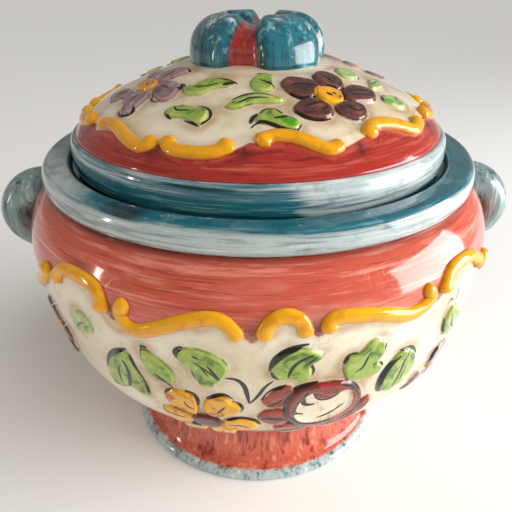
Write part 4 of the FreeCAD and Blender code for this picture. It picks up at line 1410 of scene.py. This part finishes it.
LID_LEAVES = (
    Motif((-28.5, 45.0), (
            Petal(((-10.6, -2.8), (-6.5, 0), (-4, 4), (1, 6.2), (6, 5.4), (10, 4), (8, 1.2), (3.5, -1.6),
                    (1, -4.6), (-3, -6.6), (-8, -6.2)), GREEN, 1.3),),
        (
            Stroke(((-11.5, -2.4), (-7.5, -0.8), (-5, 2.8), (0, 6.2), (5, 6.4), (10.4, 4)), 1.7),
            Stroke(((9.6, 4), (6, 1.2)), 1.2), Stroke(((-3.5, -2.5), (0, -0.8), (3.4, 2)), 0.8),
            Stroke(((-5.6, -2.6), (-2, -0.4)), 0.6))),
    Motif((-28.0, 61.8), (
            Petal(((-9, -2), (-9.6, 1.4), (-6.5, 4), (-1.5, 5), (4, 5), (8, 2.6), (9, -1.4), (8.4, -5),
                    (5.4, -5.2), (2.4, -3.6), (-2, -3), (-6, -3.6)), GREEN, 1.3),),
        (
            Stroke(((-5.6, 5.2), (-1, 5), (4.4, 5.4), (8.4, 2.6), (9.6, -1.6), (8.4, -5)), 1.1),
            Stroke(((-6.8, 2.2), (-4.6, 0.4), (-1.6, 0.8), (1, 1)), 0.9),
            Stroke(((-8.6, -2.4), (-5, -4)), 0.9), Stroke(((0.6, -3.6), (4.5, -4.8), (8, -6)), 0.8),
            Stroke(((-9.8, 1.6), (-9.4, -2)), 1.1))),
    Motif((0.4, 41.2), (
            Petal(((-5.5, -1.5), (-4.5, 3.4), (-1, 7), (3.5, 6.2), (4.4, 1.5), (3, -5), (-1, -6),
                    (-4.4, -4.4)), GREEN, 1.3),), (
            Stroke(((-1.6, 1.4), (1.5, -0.5), (3.8, -3.2)), 0.9),
            Stroke(((-3, 8), (0.6, 8.4), (4, 7)), 0.7))),
    Motif((-3.0, 52.6), (
            Petal(((-12, -3.8), (-9.5, 0.2), (-4.5, 3.8), (0, 5.2), (5, 4), (10.4, 1), (8, -1), (2, -1),
                    (-4.5, -3), (-9.5, -5)), GREEN, 1.3),), (
            Stroke(((-9.6, 1.4), (-3, 5.6), (1.6, 5.8), (8, 3)), 0.9),
            Stroke(((-7, -2), (-2.5, 1.3), (4, 1.4)), 0.8))),
    Motif((3.6, 62.6), (
            Petal(((-7.8, -1.5), (-6, 3), (-3.5, 5.6), (-0.5, 6), (2.4, 3), (6.5, 0.6), (8.4, -3.4),
                    (6.5, -6.2), (2.5, -5.4), (-3, -3.4)), GREEN, 1.3),
            Petal(((1.4, -1), (4, 0.6), (7.2, -0.4), (8, -3.6), (6, -5.2), (3, -4)), BRIGHT_GREEN, 1.4)),
        (
            Stroke(((-5.7, 4.2), (-3.5, 6.2), (-0.5, 6.4), (2.7, 3.8)), 1.0),
            Stroke(((-9.6, -4.6), (-7.5, -2.2), (-2.5, -3), (2.5, -5.6), (6.2, -6.4), (8.8, -3.4)), 1.0),
            Stroke(((-9.8, -2), (-8.4, 1.4), (-6.6, 3.6)), 1.6),
            Stroke(((-1, -0.4), (2.6, 0.2), (5, 0.8)), 1.2))),
    Motif((60.0, 42.0), (
            Petal(((-2.5, 4), (4, 4.4), (7.5, 1), (5, -4.4), (-1.5, -4.4), (-5, -1.5)), PALE_GREEN, 1.2),),
        (Stroke(((-3, 4.2), (4, 4.8), (7.8, 1.6)), 0.6), Stroke(((6, -0.5), (6.6, -3.5), (2, -5.6)), 0.5))),
    Motif((67.0, 53.6), (
            Petal(((-1.5, 3), (5, 3.4), (9.4, 0.6), (5, -3), (-2.5, -3.2), (-7.6, -0.6)), PALE_GREEN, 1.2),),
        (Stroke(((-4, 1), (1, 0.6), (5, 0)), 0.5),)),
    Motif((57.0, 64.2), (
            Petal(((-4.6, 2.4), (-1.6, 4.8), (4, 4), (7.2, 1), (6.6, -3), (2.5, -5.4), (-2, -3.5)),
                PALE_GREEN, 1.2),
            Petal(((-3.4, 2.4), (-0.6, 2), (-1, -0.6), (-3.8, -0.2)), BRIGHT_GREEN, 1.2)),
        (Stroke(((-4, 2.6), (-1, 5), (4, 4.4), (6.8, 1.5), (6.6, -3)), 0.7),)))

LID_FLOWERS = {
    "plum_flower": (
        "plum",
        Motif((29.5, 52.5), (
                Petal(((-14.4, 12), (-10, 15.5), (-5, 14.4), (-0.6, 11), (0, 6), (-4, 2.6), (-7, 0.6),
                        (-12.5, 1.5), (-15.4, 5)), PLUM, 1.7),
                Petal(((1, 14.4), (3.6, 17), (8, 16.8), (11.6, 14), (13.4, 9.6), (12, 5), (7, 2.6),
                        (3, 4.4), (0.4, 9)), PLUM, 1.7),
                Petal(((10, 3.6), (15.5, 4.2), (21, 1.4), (24.4, -2.5), (23.6, -6.6), (18, -8.4), (12, -7),
                        (6, -4), (6.6, 0.4)), PLUM, 1.7),
                Petal(((-3, -7), (1, -4.4), (7, -5.4), (10.4, -9), (9.4, -13.4), (4.5, -16.5), (0.6, -16),
                        (-3, -12.4)), PLUM, 1.7),
                Petal(((-19.2, -6), (-15.5, -1.5), (-11, 0.4), (-6.6, -0.6), (-4, -4.6), (-4.4, -9),
                        (-8, -12.3), (-13.5, -12.6), (-18.4, -10)), PLUM, 1.7),
                Petal(((-4.4, 4.6), (-0.5, 6), (3.6, 4), (5.4, -0.5), (3.6, -4.6), (-1.6, -5.8),
                        (-5.4, -3.6), (-6, 1)), YELLOW, 2.2, 1.3)),
            (
                Stroke(((0, 6.6), (3.4, 5), (6, 0.6), (5.6, -3)), 2.0),
                Stroke(((-1.8, 0.6), (-0.6, -1.4)), 1.3), Stroke(((0.8, 0.4), (1.4, -1.2)), 0.8),
                Stroke(((-12.6, 8), (-7, 8.6), (-2.6, 6)), 1.1),
                Stroke(((-15, 4.6), (-13, 1.6), (-6, 1)), 1.0),
                Stroke(((4.4, 14), (6, 9.4), (5.4, 6)), 0.9),
                Stroke(((12.6, 5), (13.6, 10), (10, 15.6)), 0.8),
                Stroke(((8.6, -0.4), (14, -0.6), (20, -3)), 1.2),
                Stroke(((8.6, -2.6), (14, -4), (19, -6)), 0.8),
                Stroke(((1.6, -8), (4, -12), (7.4, -12)), 0.9),
                Stroke(((-7, -4), (-11, -4.6), (-15, -6)), 1.2), Stroke(((-6.4, -7), (-10, -9.4)), 0.9),
                Stroke(((-19.4, -6.6), (-17.6, -10.6), (-13, -13), (-8, -12.6)), 0.9)))),
    "lilac_flower": (
        "lilac",
        Motif((-62.5, 53.5), (
                Petal(((-2.5, 7), (-5.6, 11.5), (-3.6, 16.6), (1.5, 19.4), (6.4, 17.4), (6.4, 13),
                        (4.5, 9), (1, 5)), LILAC, 1.5),
                Petal(((4.4, 2.4), (4.6, 6.6), (10.5, 9), (15.4, 7.4), (19, 3), (21, -1), (19.6, -4.4),
                        (13.6, -3.6), (8, -2)), LILAC, 1.5),
                Petal(((3.4, -13), (-1.6, -11.6), (-3, -7.5), (-0.5, -3.5), (5.5, -1.5), (9.4, -3.5),
                        (11.6, -8), (13.6, -12.6), (12.6, -16.6), (8, -16.8)), LILAC, 1.5),
                Petal(((-12.6, -15.4), (-15.6, -12.4), (-14.5, -8), (-8.5, -4.4), (-4, -6.6), (-4.6, -12),
                        (-8, -15.6)), LILAC, 1.5),
                Petal(((-8, 3.4), (-14, 3), (-16.6, 7.4), (-13, 11.4), (-7.4, 11), (-4, 6.6)), LILAC, 1.5),
                Petal(((-8.4, -1), (-7.4, 3), (-2.4, 5.6), (3, 4.4), (5, 1), (2, -2.4), (-3, -3.6)), AMBER,
                    2.0, 1.2)), (
                Stroke(((9, -1), (13, -5), (17, -5)), 0.9),
                Stroke(((12.4, -12), (14, -15.5), (12, -17.4), (5.4, -16.4)), 1.1),
                Stroke(((13, 9), (16.8, 6.6), (17, 4.4)), 1.6), Stroke(((-1.4, 1.6), (0.4, 0.4)), 1.2),
                Stroke(((0, 8), (1, 14)), 0.8), Stroke(((8, 3.6), (14, 3)), 0.8),
                Stroke(((4, -5), (6, -11)), 0.8), Stroke(((-7, -7), (-11, -12)), 0.8),
                Stroke(((-9, 5.6), (-12, 8)), 0.8), Stroke(((1, 19.8), (6.6, 17.6)), 1.2))))}


# ---------------------------------------------------------------- studio
@dataclass(frozen=True)
class Studio:
    """A plain pale floor, soft lights and the camera."""

    camera_place: tuple[float, float, float] = (-0.0116, -0.2536, 0.2336)
    camera_tilt: float = 61.07
    camera_turn: float = -2.4
    lens: float = 37.08

    def build(self) -> None:
        """Makes the floor, the lights and the camera."""
        self._floor()
        self._world()
        self._light("window_right", (0.9, -0.16, 0.26), 0.7, 0.55, 10.0, (1.0, 0.99, 0.97))
        self._light("window_left", (-0.85, -0.24, 0.22), 0.05, 0.22, 0.7, (1.0, 0.93, 0.82))
        self._light("lamp_left", (-0.7, -0.7, 0.35), 0.5, 0.5, 0.55, (1.0, 0.66, 0.34), glossy=False)
        self._daylight((0.68, -0.45, 0.75), 1.9)
        self._camera()
        bpy.context.scene.view_settings.view_transform = "Standard"

    @staticmethod
    def _floor() -> None:
        """Lays the floor, which isn't part of the pot."""
        mesh = bpy.data.meshes.new("floor")
        size = 14.0
        corners = [(-size, -size, 0), (size, -size, 0), (size, size, 0), (-size, size, 0)]
        mesh.from_pydata(corners, [], [(0, 1, 2, 3)])
        paint = NodePaint("floor_paper")
        grain = paint.noise(paint.place, 300.0, 2.0)
        paper = paint.mix(grain, (0.88, 0.89, 0.9), (0.92, 0.93, 0.94))
        paint.feed(paint.surface.inputs["Base Color"], paper)
        paint.surface.inputs["Roughness"].default_value = 0.8
        mesh.materials.append(paint.material)
        floor = bpy.data.objects.new("floor", mesh)
        bpy.context.collection.objects.link(floor)

    @staticmethod
    def _world() -> None:
        """Makes the room's even white light."""
        world = bpy.data.worlds.new("room")
        world.use_nodes = True
        background = world.node_tree.nodes["Background"]
        background.inputs["Color"].default_value = (1.0, 0.95, 0.88, 1.0)
        background.inputs["Strength"].default_value = 0.3
        bpy.context.scene.world = world

    @staticmethod
    def _hang(name: str, data: bpy.types.Light, place: Sequence[float], glossy: bool) -> None:
        """Hangs a light, aims it at the pot and says whether the glaze mirrors it."""
        lamp = bpy.data.objects.new(name, data)
        lamp.location, lamp.visible_glossy = place, glossy
        away = np.array(place) - np.array((0.0, 0.0, 0.12))
        flat = math.hypot(away[0], away[1])
        lamp.rotation_euler = (math.atan2(flat, away[2]), 0.0, math.atan2(away[0], -away[1]))
        bpy.context.collection.objects.link(lamp)

    def _light(self, name: str, place: Sequence[float], wide: float, tall: float, power: float,
               colour: Colour, glossy: bool = True) -> None:
        """Makes one soft light.

        Args:
            name: Its name.
            place: Where it hangs, in metres.
            wide, tall: Its size in metres.
            power: Its power in watts.
            colour: Its colour.
            glossy: Whether the glaze mirrors it.
        """
        data = bpy.data.lights.new(name, "AREA")
        data.shape, data.size, data.size_y = "RECTANGLE", wide, tall
        data.energy, data.color = power, colour
        self._hang(name, data, place, glossy)

    def _daylight(self, place: Sequence[float], strength: float) -> None:
        """Spreads an even, very soft daylight from one side."""
        data = bpy.data.lights.new("daylight", "SUN")
        data.energy, data.angle, data.color = strength, math.radians(60), (1.0, 0.98, 0.95)
        self._hang("daylight", data, place, False)

    def _camera(self) -> None:
        """Sets the camera."""
        data = bpy.data.cameras.new("camera")
        data.lens, data.sensor_width, data.clip_start = self.lens, 36.0, 0.01
        camera = bpy.data.objects.new("camera", data)
        camera.location = self.camera_place
        camera.rotation_euler = (math.radians(self.camera_tilt), 0.0, math.radians(self.camera_turn))
        bpy.context.collection.objects.link(camera)
        bpy.context.scene.camera = camera


def main() -> None:
    """Builds the pot, its lid and their relief, then the studio."""
    logging.basicConfig(level=logging.INFO, format="%(message)s")
    pot, lid, tree = Pot(), Lid(), BeadTree()
    bowl_edge = BandEdge(pot.wall, BOWL_EDGE, 1)
    lid_edge = BandEdge(lid.wall, LID_EDGE, -1)
    glazes = {name: {part: PaintedWall(f"{name}_{part}_glaze", ink, band, line, mottle).build()
                     for part, ink, mottle in (("wall", PETAL_INK, 1.0), ("scroll", PETAL_INK, 0.3),
                                               ("leaf", LEAF_INK, 1.0), ("flower", PETAL_INK, 1.0))}
              for name, band, line in (("bowl", ROSE, 0.0), ("lid", RED, 0.4))}
    bowl_motifs = [*BOWL_LEAVES, *(flower for _, flower in BOWL_FLOWERS.values())]
    lid_motifs = [*LID_LEAVES, *(flower for _, flower in LID_FLOWERS.values())]
    pot.build_bowl(bowl_edge, BOWL_GAPS, bowl_motifs, glazes["bowl"]["wall"])
    pot.build_foot(BrushedBand("foot_brushwork", SALMON, MIST, upright=True, wash=0.12).build())
    pot.build_collar(BrushedBand("collar_brushwork", MIST, TEAL).build())
    pot.build_handles(BrushedBand("handle_brushwork", SLATE, MIST, upright=True).build())
    lid.build_dome(lid_edge, LID_GAPS, lid_motifs, glazes["lid"]["wall"])
    lid.build_flange(BrushedBand("flange_brushwork", TEAL, MIST).build())
    lid.build_knob(BrushedBand("knob_brushwork", TEAL, RED, upright=True).build())
    Decoration("bowl", "pot", pot.wall, bowl_edge, tree,
               BOWL_SCROLLS, BOWL_LEAVES, BOWL_FLOWERS).build(glazes["bowl"])
    Decoration("lid", "lid", lid.wall, lid_edge, tree,
               LID_SCROLLS, LID_LEAVES, LID_FLOWERS).build(glazes["lid"])
    Studio().build()


if __name__ == "__main__":
    main()
